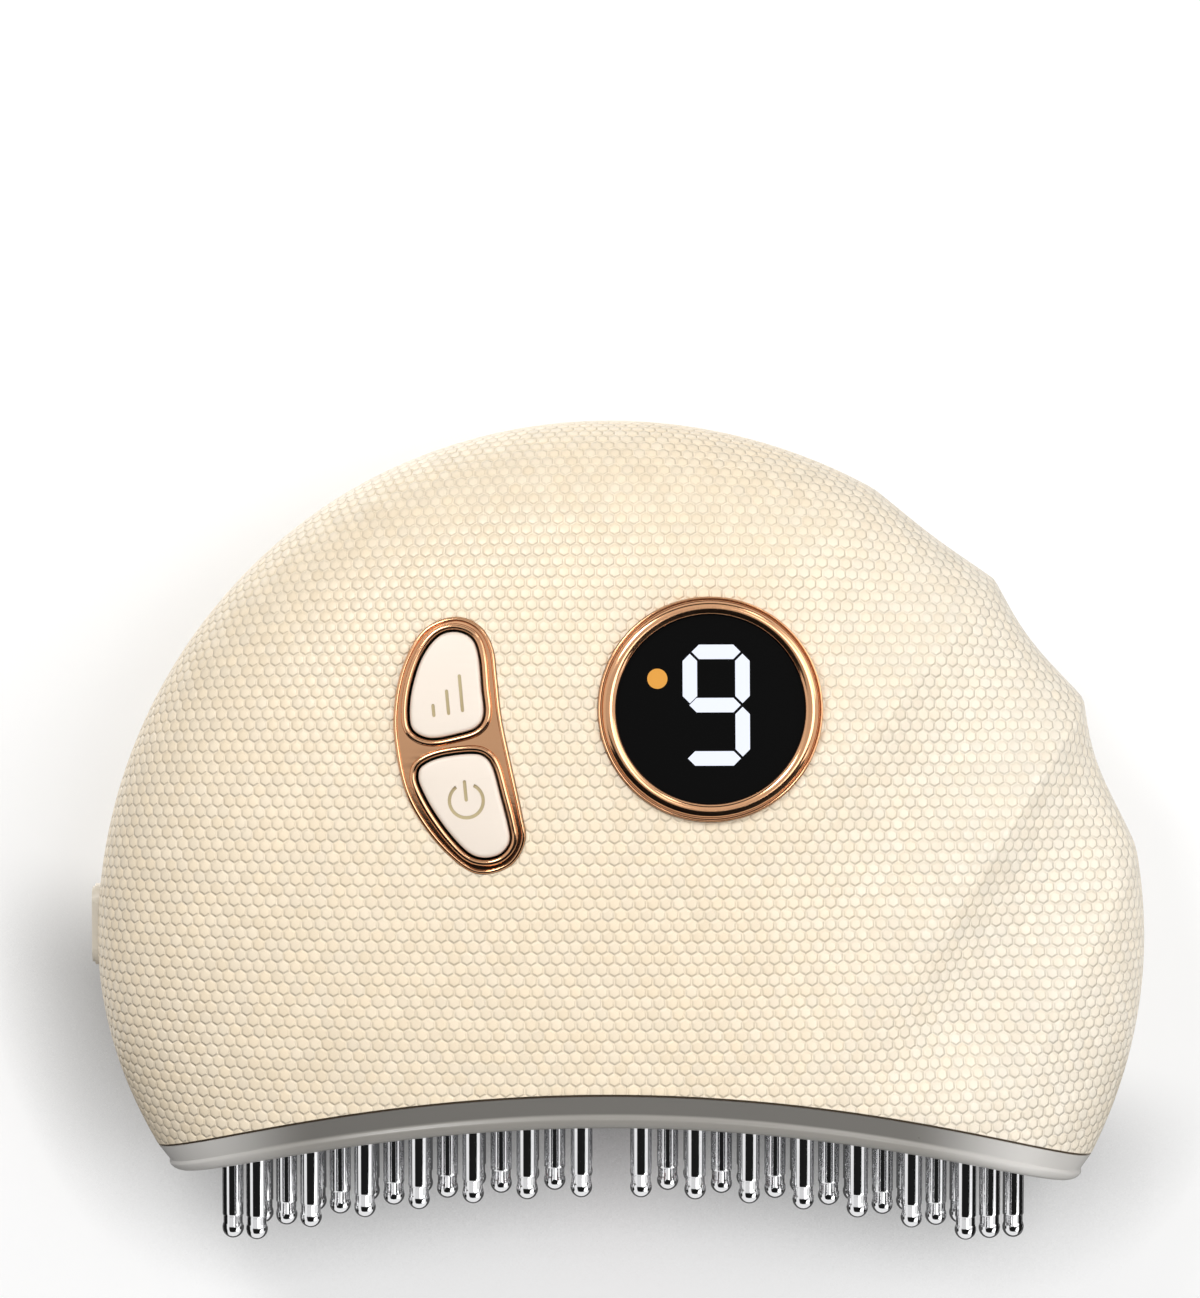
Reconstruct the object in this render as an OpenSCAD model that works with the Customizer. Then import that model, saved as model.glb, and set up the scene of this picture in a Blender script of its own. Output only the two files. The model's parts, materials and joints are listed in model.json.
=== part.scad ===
// Neck massager with two electrode fields of fixed ball-tipped pins, a red light strip,
// a digit display and two buttons. Millimetres. +Z up, the display faces -Y, the charge
// port is at -X. The ball tips of the outermost pins touch z = 0.

/* [Body] */
// Radius of the round outline seen from the front
body_radius = 65; // [64:0.25:67]
// Height of the outline's centre over the rim's lower edge
centre_rise = 20.8; // [19.8:0.1:21.8]
// Half of the body's thickness at its centre
half_depth = 21.6; // [21:0.1:23]
// Exponent across the face: more is flatter in the middle
face_roundness = 2.8; // [2.6:0.05:3]
// Exponent through the thickness: more is a blunter edge
edge_roundness = 2.5; // [2.3:0.05:2.7]
// Wall of both shells
wall = 2.4; // [2:0.1:3]
// How far the left side draws in 25 degrees below the centre, as a share of the radius
left_taper = 0.031; // [0.025:0.002:0.041]
// The same on the right side
right_taper = 0.009; // [0.005:0.002:0.019]
// How far the outline draws in at its upper right, as a share of the radius
top_draw = 0.0165; // [0:0.0005:0.02]
// Depth of the flat resting land behind the highest point of the rear shell
rest_cut = 0.6; // [0.3:0.1:1]

/* [Scallops] */
// Depth of the full scallops at the outline
scallop_depth = 1.7; // [0.5:0.1:2]
// Share of the radius where the scallops begin
scallop_start = 0.3; // [0.25:0.01:0.5]

/* [Mouth] */
// Radius of the arch that the rim and the pin tips follow
arch_radius = 184; // [150:1:240]
// Pin field axis, measured from the body's centre
axis_x = -1.2; // [-3:0.1:3]
// Height of the rim's outer wall
rim_height = 4.0; // [3:0.1:5]
// Width of the rim along the front and rear, to the plate recess
rim_width = 4.8; // [4.4:0.1:5]
// Width of the rim at its two ends
rim_end = 3.2; // [3:0.1:3.4]
// Depth of the plates in the rim
recess = 1.6; // [1.2:0.1:2]
// Thickness of the seal between rim and shells
seal_thickness = 0.5; // [0.3:0.1:0.8]
// How far the seal lies behind the outer surface
seal_inset = 0.3; // [0.2:0.05:0.6]

/* [Electrodes] */
// Length of a pin from the plate to the end of its ball
pin_length = 12.5; // [10:0.1:14]
// Diameter of the ball
ball_diameter = 2.7; // [2.2:0.05:3]
// Diameter of the stem
stem_diameter = 2.65; // [2:0.05:3]
// Distance between pins in a row
pin_pitch = 6.7; // [6.5:0.05:6.75]
// Distance from the axis to the first pin of the front and rear rows
first_pin = 3.7; // [3.4:0.05:3.75]
// Distance between rows
row_gap = 5.85; // [5.5:0.05:5.9]
// Pins on each side in the front and middle rows
pins_in_row = 7; // [5:1:7]
// Thickness of an electrode plate
plate_thickness = 1.0; // [0.6:0.1:1.5]
// Width of the light window between the plates
window_width = 3.3; // [2.6:0.1:3.4]

/* [Display] */
// Display centre to the right of the body's centre
display_across = 10.8; // [10:0.1:12]
// Display centre over the body's centre
display_rise = 30.2; // [29:0.1:31]
// Outer radius of the bezel ring
bezel_radius = 13.6; // [12:0.1:14.5]
// Radius of the glass
lens_radius = 11.4; // [10.5:0.1:12]
// Height of the digit
digit_height = 14.6; // [10:0.1:15]
// Width of the digit
digit_width = 8.1; // [6:0.1:9]
// Width of a lit bar
bar_width = 1.75; // [1:0.05:2.2]

/* [Buttons] */
// Button group to the left of the body's centre
buttons_across = 19.5; // [19:0.1:21]
// Button group over the body's centre
buttons_rise = 25.8; // [24.5:0.1:26.5]
// Button travel
travel = 0.6; // [0.3:0.05:0.8]
// Gap between a button and its frame
button_gap = 0.3; // [0.2:0.05:0.4]
// Height of the button tops over the body's surface
button_rise = 0.7; // [0.4:0.1:1]

/* [Charge port] */
// Charge port over the body's centre
port_rise = 1.6; // [-1:0.1:2]
// Receptacle width
port_width = 8.94; // [8.94:0.01:9]
// Receptacle thickness
port_thickness = 3.16; // [3.16:0.01:3.3]

/* [Motor] */
// Radius of the motor can
can_radius = 7.75; // [6:0.05:8]
// Length of the motor can
can_length = 19; // [16:0.5:20]
// Radius of the eccentric weight
weight_radius = 6.3; // [5:0.1:6.5]

/* [Battery] */
// Length, height and thickness of the pouch cell
battery_size = [48, 26, 9];

/* [Fits] */
// Radial clearance of screws and of pieces that sit in a hole
fit = 0.06; // [0.03:0.01:0.1]

/* [Hidden] */
$fn = 64;

eps = 0.01;
far = 200;

// Heights. The lowest ball tip, of the longest row, is at z = 0
reach = first_pin + pins_in_row * pin_pitch;
arch_drop = arch_radius - sqrt(arch_radius * arch_radius - reach * reach);
plate_z = arch_drop + pin_length;
rim_z = plate_z - recess;
body_height = rim_z + centre_rise;
display_at = [display_across, body_height + display_rise];
buttons_at = [-buttons_across, body_height + buttons_rise];
port_z = body_height + port_rise;

// Angles of the cusps on the outline; each span up to the next is cut in even steps
cusp_angles = [10.7, 27.9, 44.1, 60.5];
span_steps = 8;
plain_steps = 42;
first_angle = -20;
around = concat(
  [for (i = [0:span_steps - 1])
    first_angle + (cusp_angles[0] - first_angle) * i / span_steps],
  [for (k = [0:2]) for (i = [0:span_steps - 1])
    cusp_angles[k] + (cusp_angles[k + 1] - cusp_angles[k]) * i / span_steps],
  [for (i = [0:plain_steps - 1])
    cusp_angles[3] + (360 + first_angle - cusp_angles[3]) * i / plain_steps]);
outer_rings = 14;
inner_rings = 8;

// The ridges lie on rays from one point beyond the upper right, at these angles
fan = [130.5, body_height + 151.3];
ridge_angles = [43.9, 51.7, 58.9, 64.5, 74];
// Share of the full depth in each scallop between two ridges
scallop_share = [0.55, 0.9, 1.05, 0.4];
edge_fade = 0.85;

function smooth(t) = let (u = min(1, max(0, t))) u * u * (3 - 2 * u);
// The lower half draws in most on the diagonals; the factor is 1 at 25 degrees. The upper
// half draws in round one angle and fades over a span on each side of it
top_angle = 70;
top_span = [72, 62];
function top_share(d) = let (u = d / (d < 0 ? top_span[0] : top_span[1]))
  abs(u) > 1 ? 0 : pow(cos(90 * u), 2);
function outline_radius(a) = body_radius * (1 - top_draw * top_share(atan2(sin(a), cos(a)) - top_angle)
  - (sin(a) > 0 ? 0 : (cos(a) < 0 ? left_taper : right_taper) * pow(sin(2 * a) / sin(50), 2)));
function valley(f, k) = k > 3 || f < ridge_angles[0] ? 0
  : f < ridge_angles[k + 1]
    ? scallop_share[k] * sin(180 * (f - ridge_angles[k])
      / (ridge_angles[k + 1] - ridge_angles[k]))
    : valley(f, k + 1);
// Depth of the scallop at a point, which lies at this share of the radius
function scallop(x, z, share) =
  let (f = atan2(fan[1] - z, fan[0] - x),
    below_last = f > ridge_angles[3] ? 1 - smooth((share - edge_fade) / (1 - edge_fade)) : 1)
  scallop_depth * valley(f, 0) * below_last
    * smooth((share - scallop_start) / (1 - scallop_start));

// Half thickness of the plain body at a point of its outline plane
function depth(x, z) =
  let (h = z - body_height, s = norm([x, h]) / outline_radius(atan2(h, x)))
  s >= 1 ? 0 : half_depth * pow(1 - pow(s, face_roundness), 1 / edge_roundness);
function across(r, rf, y) = let (n = face_roundness, m = edge_roundness,
    v = [n * pow(r, n - 1) / pow(rf, n), m * pow(y, m - 1) / pow(half_depth, m)])
  v / norm(v);
// Direction out of the front face at a point of it
function face_normal(x, z) =
  let (h = z - body_height, r = norm([x, h]), a = atan2(h, x),
    v = across(r, outline_radius(a), depth(x, z)))
  [v[0] * cos(a), -v[1], v[0] * sin(a)];
// Point of the front sheet at angle a, t from 0 at the middle to 90 at the edge
function skin(a, t, inward) =
  let (rf = outline_radius(a), share = pow(sin(t), 2 / face_roundness), r = rf * share,
    y = t == 90 ? 0 : half_depth * pow(cos(t), 2 / edge_roundness),
    v = across(max(r, eps), rf, y),
    x = r * cos(a), z = r * sin(a) + body_height,
    d = inward + scallop(x, z, share), q = r - v[0] * d)
  [q * cos(a), t == 90 ? 0 : -(y - v[1] * d), q * sin(a) + body_height];

// Triangles of one sheet whose points begin at base: the middle point, then its rings
function sheet(base, rings, flip) = let (m = len(around)) [
  for (j = [0:m - 1]) let (n = (j + 1) % m, f = [base, base + 1 + n, base + 1 + j])
    flip ? [f[0], f[2], f[1]] : f,
  for (k = [0:rings - 2]) for (j = [0:m - 1])
    let (n = (j + 1) % m, p = base + 1 + k * m + j, q = base + 1 + k * m + n)
    for (f = [[p, q, q + m], [p, q + m, p + m]]) flip ? [f[0], f[2], f[1]] : f];
function sheet_points(rings, inward) = concat([skin(0, 0, inward)],
  [for (k = [1:rings]) for (a = around) skin(a, 90 * k / rings, inward)]);
// Shell of the front half; its middle is flat where it would pass the limit
module half_shell(limit) {
  m = len(around);
  outer = [for (p = sheet_points(outer_rings, 0)) [p[0], max(p[1], -limit), p[2]]];
  o = 1 + (outer_rings - 1) * m;
  i = len(outer) + 1 + (inner_rings - 1) * m;
  polyhedron(points = concat(outer, sheet_points(inner_rings, wall)), convexity = 6,
    faces = concat(sheet(0, outer_rings, false), sheet(len(outer), inner_rings, true),
      [for (j = [0:m - 1]) let (n = (j + 1) % m)
        for (f = [[i + j, o + j, o + n], [i + j, o + n, i + n]]) f]));
}

// Places its children on the front face: x across, y up the face, z out of it
module on_face(at) {
  n = face_normal(at[0], at[1]);
  translate([at[0], -depth(at[0], at[1]), at[1]])
    rotate([90 - asin(n[2]), 0, atan2(n[0], -n[1])]) children();
}

// The mouth, where the body meets the arch
stations = 96;
function arch(x, z) =
  z - arch_radius + sqrt(arch_radius * arch_radius - pow(x - axis_x, 2));
// Where the arch meets the outline on one side, by halving
function mouth_end(side, z, lo, hi, n) = let (m = (lo + hi) / 2)
  n == 0 ? m : depth(side * m, arch(side * m, z)) > 0
    ? mouth_end(side, z, m, hi, n - 1) : mouth_end(side, z, lo, m, n - 1);
// Plan of the body where it meets the arch through height z, moved in by inset, which is
// one number or [at the ends, along the front and rear]
function mouth(z, inset) =
  let (w = is_list(inset) ? inset : [inset, inset],
    right = mouth_end(1, z, 0, body_radius, 24),
    left = -mouth_end(-1, z, 0, body_radius, 24),
    p = [for (i = [0:stations - 1])
      let (a = 360 * i / stations, x = (right + left) / 2 + (right - left) / 2 * cos(a))
      [x, (i % (stations / 2) == 0 ? 0 : sign(sin(a))) * depth(x, arch(x, z))]])
  [for (i = [0:stations - 1])
    let (t = p[(i + 1) % stations] - p[(i + stations - 1) % stations])
    p[i] - [w[0] * t[1], -w[1] * t[0]] / norm(t)];
// Solid between curved levels, each [height at the axis, inset]
module slab(levels) {
  s = stations;
  half = s / 2;
  top = len(levels) - 1;
  points = [for (l = levels) for (p = mouth(l[0], l[1])) [p[0], p[1], arch(p[0], l[0])]];
  cap = concat([[0, 1, s - 1]],
    [for (i = [1:half - 2]) for (f = [[i, i + 1, s - i - 1], [i, s - i - 1, s - i]]) f],
    [[half - 1, half, half + 1]]);
  polyhedron(points = points, convexity = 6, faces = concat(cap,
    [for (f = cap) [f[2], f[1], f[0]] + top * s * [1, 1, 1]],
    [for (k = [0:top - 1]) for (i = [0:s - 1])
      let (a = k * s + i, b = k * s + (i + 1) % s)
      for (f = [[a, a + s, b + s], [a, b + s, b]]) f]));
}
module mouth_plan(inset) polygon(mouth(rim_z, inset));
module under_arch(z) translate([axis_x, 0, z - arch_radius])
  rotate([90, 0, 0]) cylinder(r = arch_radius, h = far, center = true, $fn = 720);
module column(inset, bottom, top) translate([0, 0, bottom])
  linear_extrude(top - bottom) mouth_plan(inset);

seal_z = rim_z + rim_height;
shell_z = seal_z + seal_thickness;
floor_z = plate_z + plate_thickness;
floor_top = floor_z + 2;
rim_inset = [rim_end, rim_width];
plate_gap = 0.1;
plate_inset = rim_inset + plate_gap * [1, 1];
spigot_gap = 1;
spigot_inset = wall + spigot_gap;
spigot_wall = 1.2;
spigot_height = 4;
spigot_top = seal_z + spigot_height;
edge_levels = [[0, 1.5], [0.15, 0.9], [0.45, 0.42], [0.9, 0.12], [1.5, 0]];

module along_y(y, h, r) translate([0, y, 0]) rotate([-90, 0, 0]) cylinder(r = r, h = h);
module box(low, high) translate(low) cube(high - low);
module rod(a, b, r) let (d = b - a) translate(a)
  rotate([0, acos(d[2] / norm(d)), atan2(d[1], d[0])]) cylinder(r = r, h = norm(d));
lead_radius = 0.5;
bend_radius = 0.62;
module lead(points) {
  for (i = [0:len(points) - 2]) rod(points[i], points[i + 1], lead_radius, $fn = 20);
  for (i = [1:len(points) - 2]) translate(points[i]) rotate([50, 25, 0])
    sphere(r = bend_radius, $fn = 20);
}
// Screw along +z with its head's seat at z = 0 and the point at -length
module screw(r, length, head_r, head_h) difference() {
  union() {
    translate([0, 0, -length]) cylinder(r = r, h = length + eps, $fn = 24);
    cylinder(r = head_r, h = head_h, $fn = 32);
  }
  for (a = [0, 90]) rotate(a)
    translate([-head_r * 0.6, -head_r * 0.13, head_h * 0.45])
      cube([head_r * 1.2, head_r * 0.26, head_h]);
}
// Closed smooth curve through points, each span cut in even steps
curve_steps = 5;
function curve(p) = let (n = len(p)) [for (i = [0:n - 1]) for (s = [0:curve_steps - 1])
  let (u = s / curve_steps, a = p[(i + n - 1) % n], b = p[i], c = p[(i + 1) % n],
    d = p[(i + 2) % n])
  ((2 * b) + (c - a) * u + (2 * a - 5 * b + 4 * c - d) * u * u
    + (3 * b - a - 3 * c + d) * u * u * u) / 2];

// Pins
shank_radius = 1.0;
collar_radius = 1.55;
collar_height = 1.0;
neck_radius = 1.05;
neck_length = 0.45;
tail = 1.0;
tip_drop = plate_z - pin_length;
function pin_x(row, k) = first_pin + (row == 0 ? pin_pitch / 2 : 0) + k * pin_pitch;
// Row is -1 front, 0 middle, 1 rear; side is -1 left, 1 right
module pin_row(side, row, count) for (k = [0:count - 1]) {
  x = axis_x + side * pin_x(row, k);
  translate([x, row * row_gap, arch(x, 0)]) children();
}
module pins(side, row, count) {
  intersection() {
    pin_row(side, row, count) {
      translate([0, 0, tip_drop + ball_diameter / 2]) sphere(d = ball_diameter, $fn = 36);
      translate([0, 0, tip_drop + ball_diameter / 2])
        cylinder(r = neck_radius, h = ball_diameter / 2 + neck_length, $fn = 36);
      translate([0, 0, tip_drop + ball_diameter + neck_length - 0.3])
        cylinder(d = stem_diameter, h = pin_length - ball_diameter, $fn = 36);
      translate([0, 0, plate_z - collar_height])
        cylinder(r = collar_radius, h = 2 * collar_height, $fn = 36);
    }
    under_arch(plate_z);
  }
  pin_row(side, row, count) translate([0, 0, plate_z - collar_height / 2])
    cylinder(r = shank_radius, h = floor_top + tail - plate_z + collar_height / 2, $fn = 36);
}
module pin_holes(side, row, count) pin_row(side, row, count)
  translate([0, 0, plate_z - collar_height])
    cylinder(r = shank_radius + fit, h = floor_top + tail - plate_z + 2 * collar_height, $fn = 36);
module all_pin_holes() for (side = [-1, 1]) {
  pin_holes(side, -1, pins_in_row);
  pin_holes(side, 0, pins_in_row);
  pin_holes(side, 1, pins_in_row + (side > 0 ? 1 : 0));
}

module left_front_pins() color("Silver") pins(-1, -1, pins_in_row);
module left_middle_pins() color("Silver") pins(-1, 0, pins_in_row);
module left_rear_pins() color("Silver") pins(-1, 1, pins_in_row);
module right_front_pins() color("Silver") pins(1, -1, pins_in_row);
module right_middle_pins() color("Silver") pins(1, 0, pins_in_row);
module right_rear_pins() color("Silver") pins(1, 1, pins_in_row + 1);

// Plates and light strip
window_half = window_width / 2;
rib_width = 1.6;
rib_length = 16;
module plate(side) difference() {
  intersection() {
    column(plate_inset, 0, far / 2);
    difference() {
      under_arch(floor_z);
      under_arch(plate_z);
    }
    translate([axis_x + side * (far / 2 + window_half + plate_gap), 0, 0])
      cube(far, center = true);
  }
  all_pin_holes();
}
module left_plate() color("Silver") plate(-1);
module right_plate() color("Silver") plate(1);
module light_window() color("Red", 0.7) {
  intersection() {
    column(plate_inset, 0, far / 2);
    difference() {
      under_arch(floor_z);
      under_arch(plate_z);
    }
    translate([axis_x - window_half, -far / 2, 0]) cube([window_width, far, far]);
  }
  translate([axis_x - rib_width / 2, -rib_length / 2, floor_z - 0.5])
    cube([rib_width, rib_length, floor_top + 0.8 - floor_z + 0.5]);
}

// Motor, LED board and frame posts, which stand on the base frame
sleeve_wall = 0.8;
sleeve_length = 15;
sleeve_radius = can_radius + sleeve_wall;
motor = [-17.5, -2, floor_top + 4 + sleeve_radius];
rib_x = [-22, -13];
rib_half = 1.5;
strap_thickness = 1.2;
led_board_z = floor_top + 3;
board_thickness = 1;
led_post_y = 11;
led_post_radius = 2.2;
led_y = 4.5;
led_size = [1.8, 2.6, 1.5];
m2_radius = 1.0;
m2_head = 1.9;
m2_head_height = 1.2;
strap_point = sleeve_radius + strap_thickness + m2_head + 0.2;
strap_end = strap_point + m2_head;
m25_radius = 1.25;
m25_head = 2.3;
m25_head_height = 1.6;
frame_post = [46, 5];
frame_post_radius = 3.2;
frame_post_top = floor_top + 5;
lug_thickness = 2.4;
lug_half = 4;

module base_frame() color("Gray") difference() {
  union() {
    slab(concat([for (l = edge_levels) [rim_z + l[0], l[1]]], [[seal_z, 0]]));
    difference() {
      slab([[seal_z - 1, spigot_inset], [spigot_top, spigot_inset]]);
      difference() {
        column(spigot_inset + spigot_wall, 0, far / 2);
        under_arch(floor_top);
      }
    }
    difference() {
      union() {
        for (x = rib_x) box([x - rib_half, motor[1] - strap_end, floor_z + 0.5],
          [x + rib_half, motor[1] + strap_end, motor[2]]);
        for (s = [-1, 1]) translate([axis_x, s * led_post_y, floor_z + 0.5])
          cylinder(r = led_post_radius, h = led_board_z - floor_z - 0.5);
        for (s = [-1, 1]) translate([s * frame_post[0], frame_post[1], 0])
          translate([0, 0, arch(s * frame_post[0], floor_z + 0.5)])
            cylinder(r = frame_post_radius,
              h = frame_post_top - arch(s * frame_post[0], floor_z + 0.5));
      }
      translate([motor[0] - far / 2, motor[1], motor[2]]) rotate([0, 90, 0])
        cylinder(r = sleeve_radius, h = far);
      strap_points() translate([0, 0, -6]) cylinder(r = m2_radius + fit, h = 10, $fn = 24);
      for (s = [-1, 1]) translate([axis_x, s * led_post_y, led_board_z - 2.4])
        cylinder(r = m2_radius + fit, h = 5, $fn = 24);
      for (s = [-1, 1]) translate([s * frame_post[0], frame_post[1], frame_post_top - 7])
        cylinder(r = m25_radius + fit, h = 10, $fn = 24);
    }
  }
  intersection() {
    column(rim_inset, 0, far / 2);
    under_arch(floor_z);
  }
  translate([axis_x - rib_width / 2 - 0.1, -rib_length / 2 - 0.1, 0])
    cube([rib_width + 0.2, rib_length + 0.2, led_board_z - 0.5]);
  all_pin_holes();
}
module seal() color("SaddleBrown") difference() {
  slab([[seal_z, seal_inset], [shell_z, seal_inset]]);
  linear_extrude(far) polygon(mouth(seal_z, wall - 0.1));
}
module strap_points() for (x = rib_x) for (s = [-1, 1])
  translate([x, motor[1] + s * strap_point, motor[2]]) children();
module motor_axis(x) translate([motor[0] + x, motor[1], motor[2]]) rotate([0, 90, 0])
  children();
module motor_can() color("Silver") {
  motor_axis(-can_length / 2) cylinder(r = can_radius, h = can_length);
  motor_axis(-can_length / 2 - 1) cylinder(r = 3, h = 1.5);
  difference() {
    motor_axis(can_length / 2 - 0.5) cylinder(r = 2.6, h = 1.5);
    motor_axis(can_length / 2 - 0.2) cylinder(r = 1 + 0.05, h = 3);
  }
}
shaft_start = can_length / 2;
shaft_length = 10.5;
weight_start = can_length / 2 + 2.5;
weight_length = 7;
module motor_shaft() color("DimGray")
  motor_axis(shaft_start) cylinder(r = 1, h = shaft_length);
module eccentric_weight() color("DarkGoldenrod") difference() {
  motor_axis(weight_start) union() {
    cylinder(r = 2.2, h = weight_length);
    intersection() {
      cylinder(r = weight_radius, h = weight_length);
      translate([0, -weight_radius, 0]) cube([far, 2 * weight_radius, far]);
    }
  }
  motor_axis(weight_start - 1) cylinder(r = 1, h = far);
}
module motor_sleeve() color("DimGray") difference() {
  motor_axis(-sleeve_length / 2) cylinder(r = sleeve_radius, h = sleeve_length);
  motor_axis(-sleeve_length / 2 - 1) cylinder(r = can_radius, h = sleeve_length + 2);
}
module motor_strap() color("Gainsboro") difference() {
  union() {
    intersection() {
      translate([rib_x[0] - rib_half - motor[0], 0, 0]) motor_axis(0)
        cylinder(r = sleeve_radius + strap_thickness, h = rib_x[1] - rib_x[0] + 2 * rib_half);
      box([-far, -far, motor[2]], [far, far, far]);
    }
    box([rib_x[0] - rib_half, motor[1] - strap_end, motor[2]],
      [rib_x[1] + rib_half, motor[1] + strap_end, motor[2] + strap_thickness]);
  }
  motor_axis(-far / 2) cylinder(r = sleeve_radius, h = far);
  strap_points() cylinder(r = m2_radius + fit, h = 10, center = true, $fn = 24);
}
module strap_screws() color("Silver") strap_points() translate([0, 0, strap_thickness])
  screw(m2_radius, strap_thickness + 5, m2_head, m2_head_height);
module led_board() color("DarkGreen") difference() {
  translate([axis_x - 4, -led_post_y - 2.5, led_board_z])
    cube([8, 2 * led_post_y + 5, board_thickness]);
  for (s = [-1, 1]) translate([axis_x, s * led_post_y, 0])
    cylinder(r = m2_radius + fit, h = far, $fn = 24);
}
module leds() color("Red") for (s = [-1, 1])
  translate([axis_x - led_size[0] / 2, s * led_y - led_size[1] / 2, led_board_z - led_size[2]])
    cube(led_size);
module led_screws() color("Silver") for (s = [-1, 1])
  translate([axis_x, s * led_post_y, led_board_z + board_thickness])
    screw(m2_radius, board_thickness + 2, m2_head, m2_head_height);

// Display, measured from the face at its centre
bezel_floor = -1.3;
bezel_hole = 12.3;
ledge_radius = 10.6;
lens_top = -0.2;
lens_thickness = 1.2;
lens_back = lens_top - lens_thickness;
module_thickness = 5;
display_back = lens_back - module_thickness;
display_board_radius = 17.4;
display_post_at = 15.2;
display_post_radius = 2.1;
display_post_angles = [75, 195, 315];
inlay = 0.35;
module on_display() on_face(display_at) children();
module display_posts(r, low, high) for (a = display_post_angles) rotate(a)
  translate([display_post_at, 0, low]) cylinder(r = r, h = high - low, $fn = 32);
module display_bezel() color("Peru") on_display() rotate_extrude($fn = 128) polygon([
  [ledge_radius, lens_back - 0.8], [bezel_hole - 0.1, lens_back - 0.8],
  [bezel_hole - 0.1, bezel_floor], [bezel_radius, bezel_floor],
  [bezel_radius, 0.05], [bezel_radius - 0.1, 0.25], [bezel_radius - 0.35, 0.35],
  [bezel_radius - 0.6, 0.27], [bezel_radius - 0.72, 0.2], [bezel_radius - 0.75, 0.55],
  [bezel_radius - 0.9, 0.85], [bezel_radius - 1.15, 1.0], [bezel_radius - 1.45, 0.98],
  [bezel_radius - 1.75, 0.8], [lens_radius + 0.1, 0.45], [lens_radius, 0.15],
  [lens_radius, lens_back], [ledge_radius, lens_back]]);
module hexagon_bar(length) polygon([[-length / 2, 0], [-length / 2 + bar_width / 2, bar_width / 2],
  [length / 2 - bar_width / 2, bar_width / 2], [length / 2, 0],
  [length / 2 - bar_width / 2, -bar_width / 2], [-length / 2 + bar_width / 2, -bar_width / 2]]);
bar_gap = 0.22;
digit_at = [0.7, 0.5];
// The lower two cross bars reach further to the left
bar_reach = [0.5, 0.3, 0];
module nine() {
  w = digit_width / 2 - bar_width / 2;
  h = digit_height / 2 - bar_width / 2;
  for (i = [0:2]) translate([-bar_reach[i] / 2, (i - 1) * h])
    hexagon_bar(2 * w - 2 * bar_gap + bar_reach[i]);
  for (p = [[-w, h / 2], [w, h / 2], [w, -h / 2]])
    translate(p) rotate(90) hexagon_bar(h - 2 * bar_gap);
}
dot_at = [-6.4, 3.7];
dot_radius = 1.22;
module display_lens() color("Black") on_display() difference() {
  translate([0, 0, lens_back]) cylinder(r = lens_radius, h = lens_thickness, $fn = 128);
  translate([0, 0, lens_top - inlay]) linear_extrude(1) {
    translate(digit_at) nine();
    translate(dot_at) circle(r = dot_radius, $fn = 48);
  }
}
module digit_segments() color("White") on_display() translate([0, 0, lens_top - inlay])
  linear_extrude(inlay) translate(digit_at) nine();
module indicator_dot() color("Orange") on_display() translate([0, 0, lens_top - inlay])
  linear_extrude(inlay) translate(dot_at) circle(r = dot_radius, $fn = 48);
module display_module() color("DimGray") on_display() translate([0, 0, display_back])
  cylinder(r = ledge_radius - 0.2, h = module_thickness, $fn = 96);
module display_board() color("DarkGreen") on_display() difference() {
  translate([0, 0, display_back - board_thickness])
    cylinder(r = display_board_radius, h = board_thickness, $fn = 96);
  display_posts(m2_radius + fit, display_back - 5, display_back + 5, $fn = 24);
}
module display_screws() color("Silver") on_display() for (a = display_post_angles)
  rotate(a) translate([display_post_at, 0, display_back - board_thickness])
    rotate([180, 0, 0]) screw(m2_radius, board_thickness + 2.5, m2_head, m2_head_height);

// Buttons, measured from the face at the group's centre
// Outline of the frame and of the two buttons, clockwise from the top
frame_line = curve([[-0.8, 15.5], [2.2, 14.5], [3.9, 11.9], [4.5, 8], [5.1, 3.2],
  [6.4, -2.8], [7.6, -8.2], [8, -11.4], [6.4, -14.3], [3.2, -15.5], [0.4, -14.6],
  [-3.4, -10.9], [-6.4, -5.9], [-7.8, 0.2], [-7.9, 5], [-6.8, 10], [-4.4, 14]]);
level_line = curve([[-0.7, 13.7], [1.3, 12.9], [2.2, 10.7], [2.6, 6.9], [2.9, 3.9],
  [2.1, 2.3], [0, 1.5], [-3.4, 0.9], [-5.5, 1.8], [-6, 3.8], [-5.7, 7], [-4.6, 10.5],
  [-2.8, 13]]);
power_line = curve([[-4.4, -2.5], [-2.2, -1.5], [1.4, -1], [3.1, -1.4], [4.1, -2.8],
  [5, -6], [5.9, -9.5], [6.1, -11.5], [5, -13], [3.1, -13.5], [1.2, -12.9],
  [-1, -10.7], [-3.1, -7.8], [-4.5, -5.2], [-4.9, -3.7]]);
crown = 130;
frame_floor = -1.3;
pad_back = -3.7;
skirt = 0.6;
skirt_thickness = 0.8;
skirt_gap = 0.05;
skirt_back = pad_back - skirt_thickness;
stem_length = 0.9;
plunger_top = skirt_back - stem_length;
end_gap = 0.4;
switch_top = plunger_top - travel - end_gap;
switch_size = [6, 6, 3.7];
plunger_radius = 1.5;
plunger_length = 2.2;
plunger_gap = 0.15;
button_board_top = switch_top - switch_size[2];
level_at = [-1.7, 7];
power_at = [1.2, -7];
icon_depth = 0.25;
icon_stroke = 0.42;
button_post_radius = 2.1;
button_posts = [[-9, -8.5], [9, 6]];
button_board_half = [11.4, 11.4];
module on_buttons() on_face(buttons_at) children();
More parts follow.
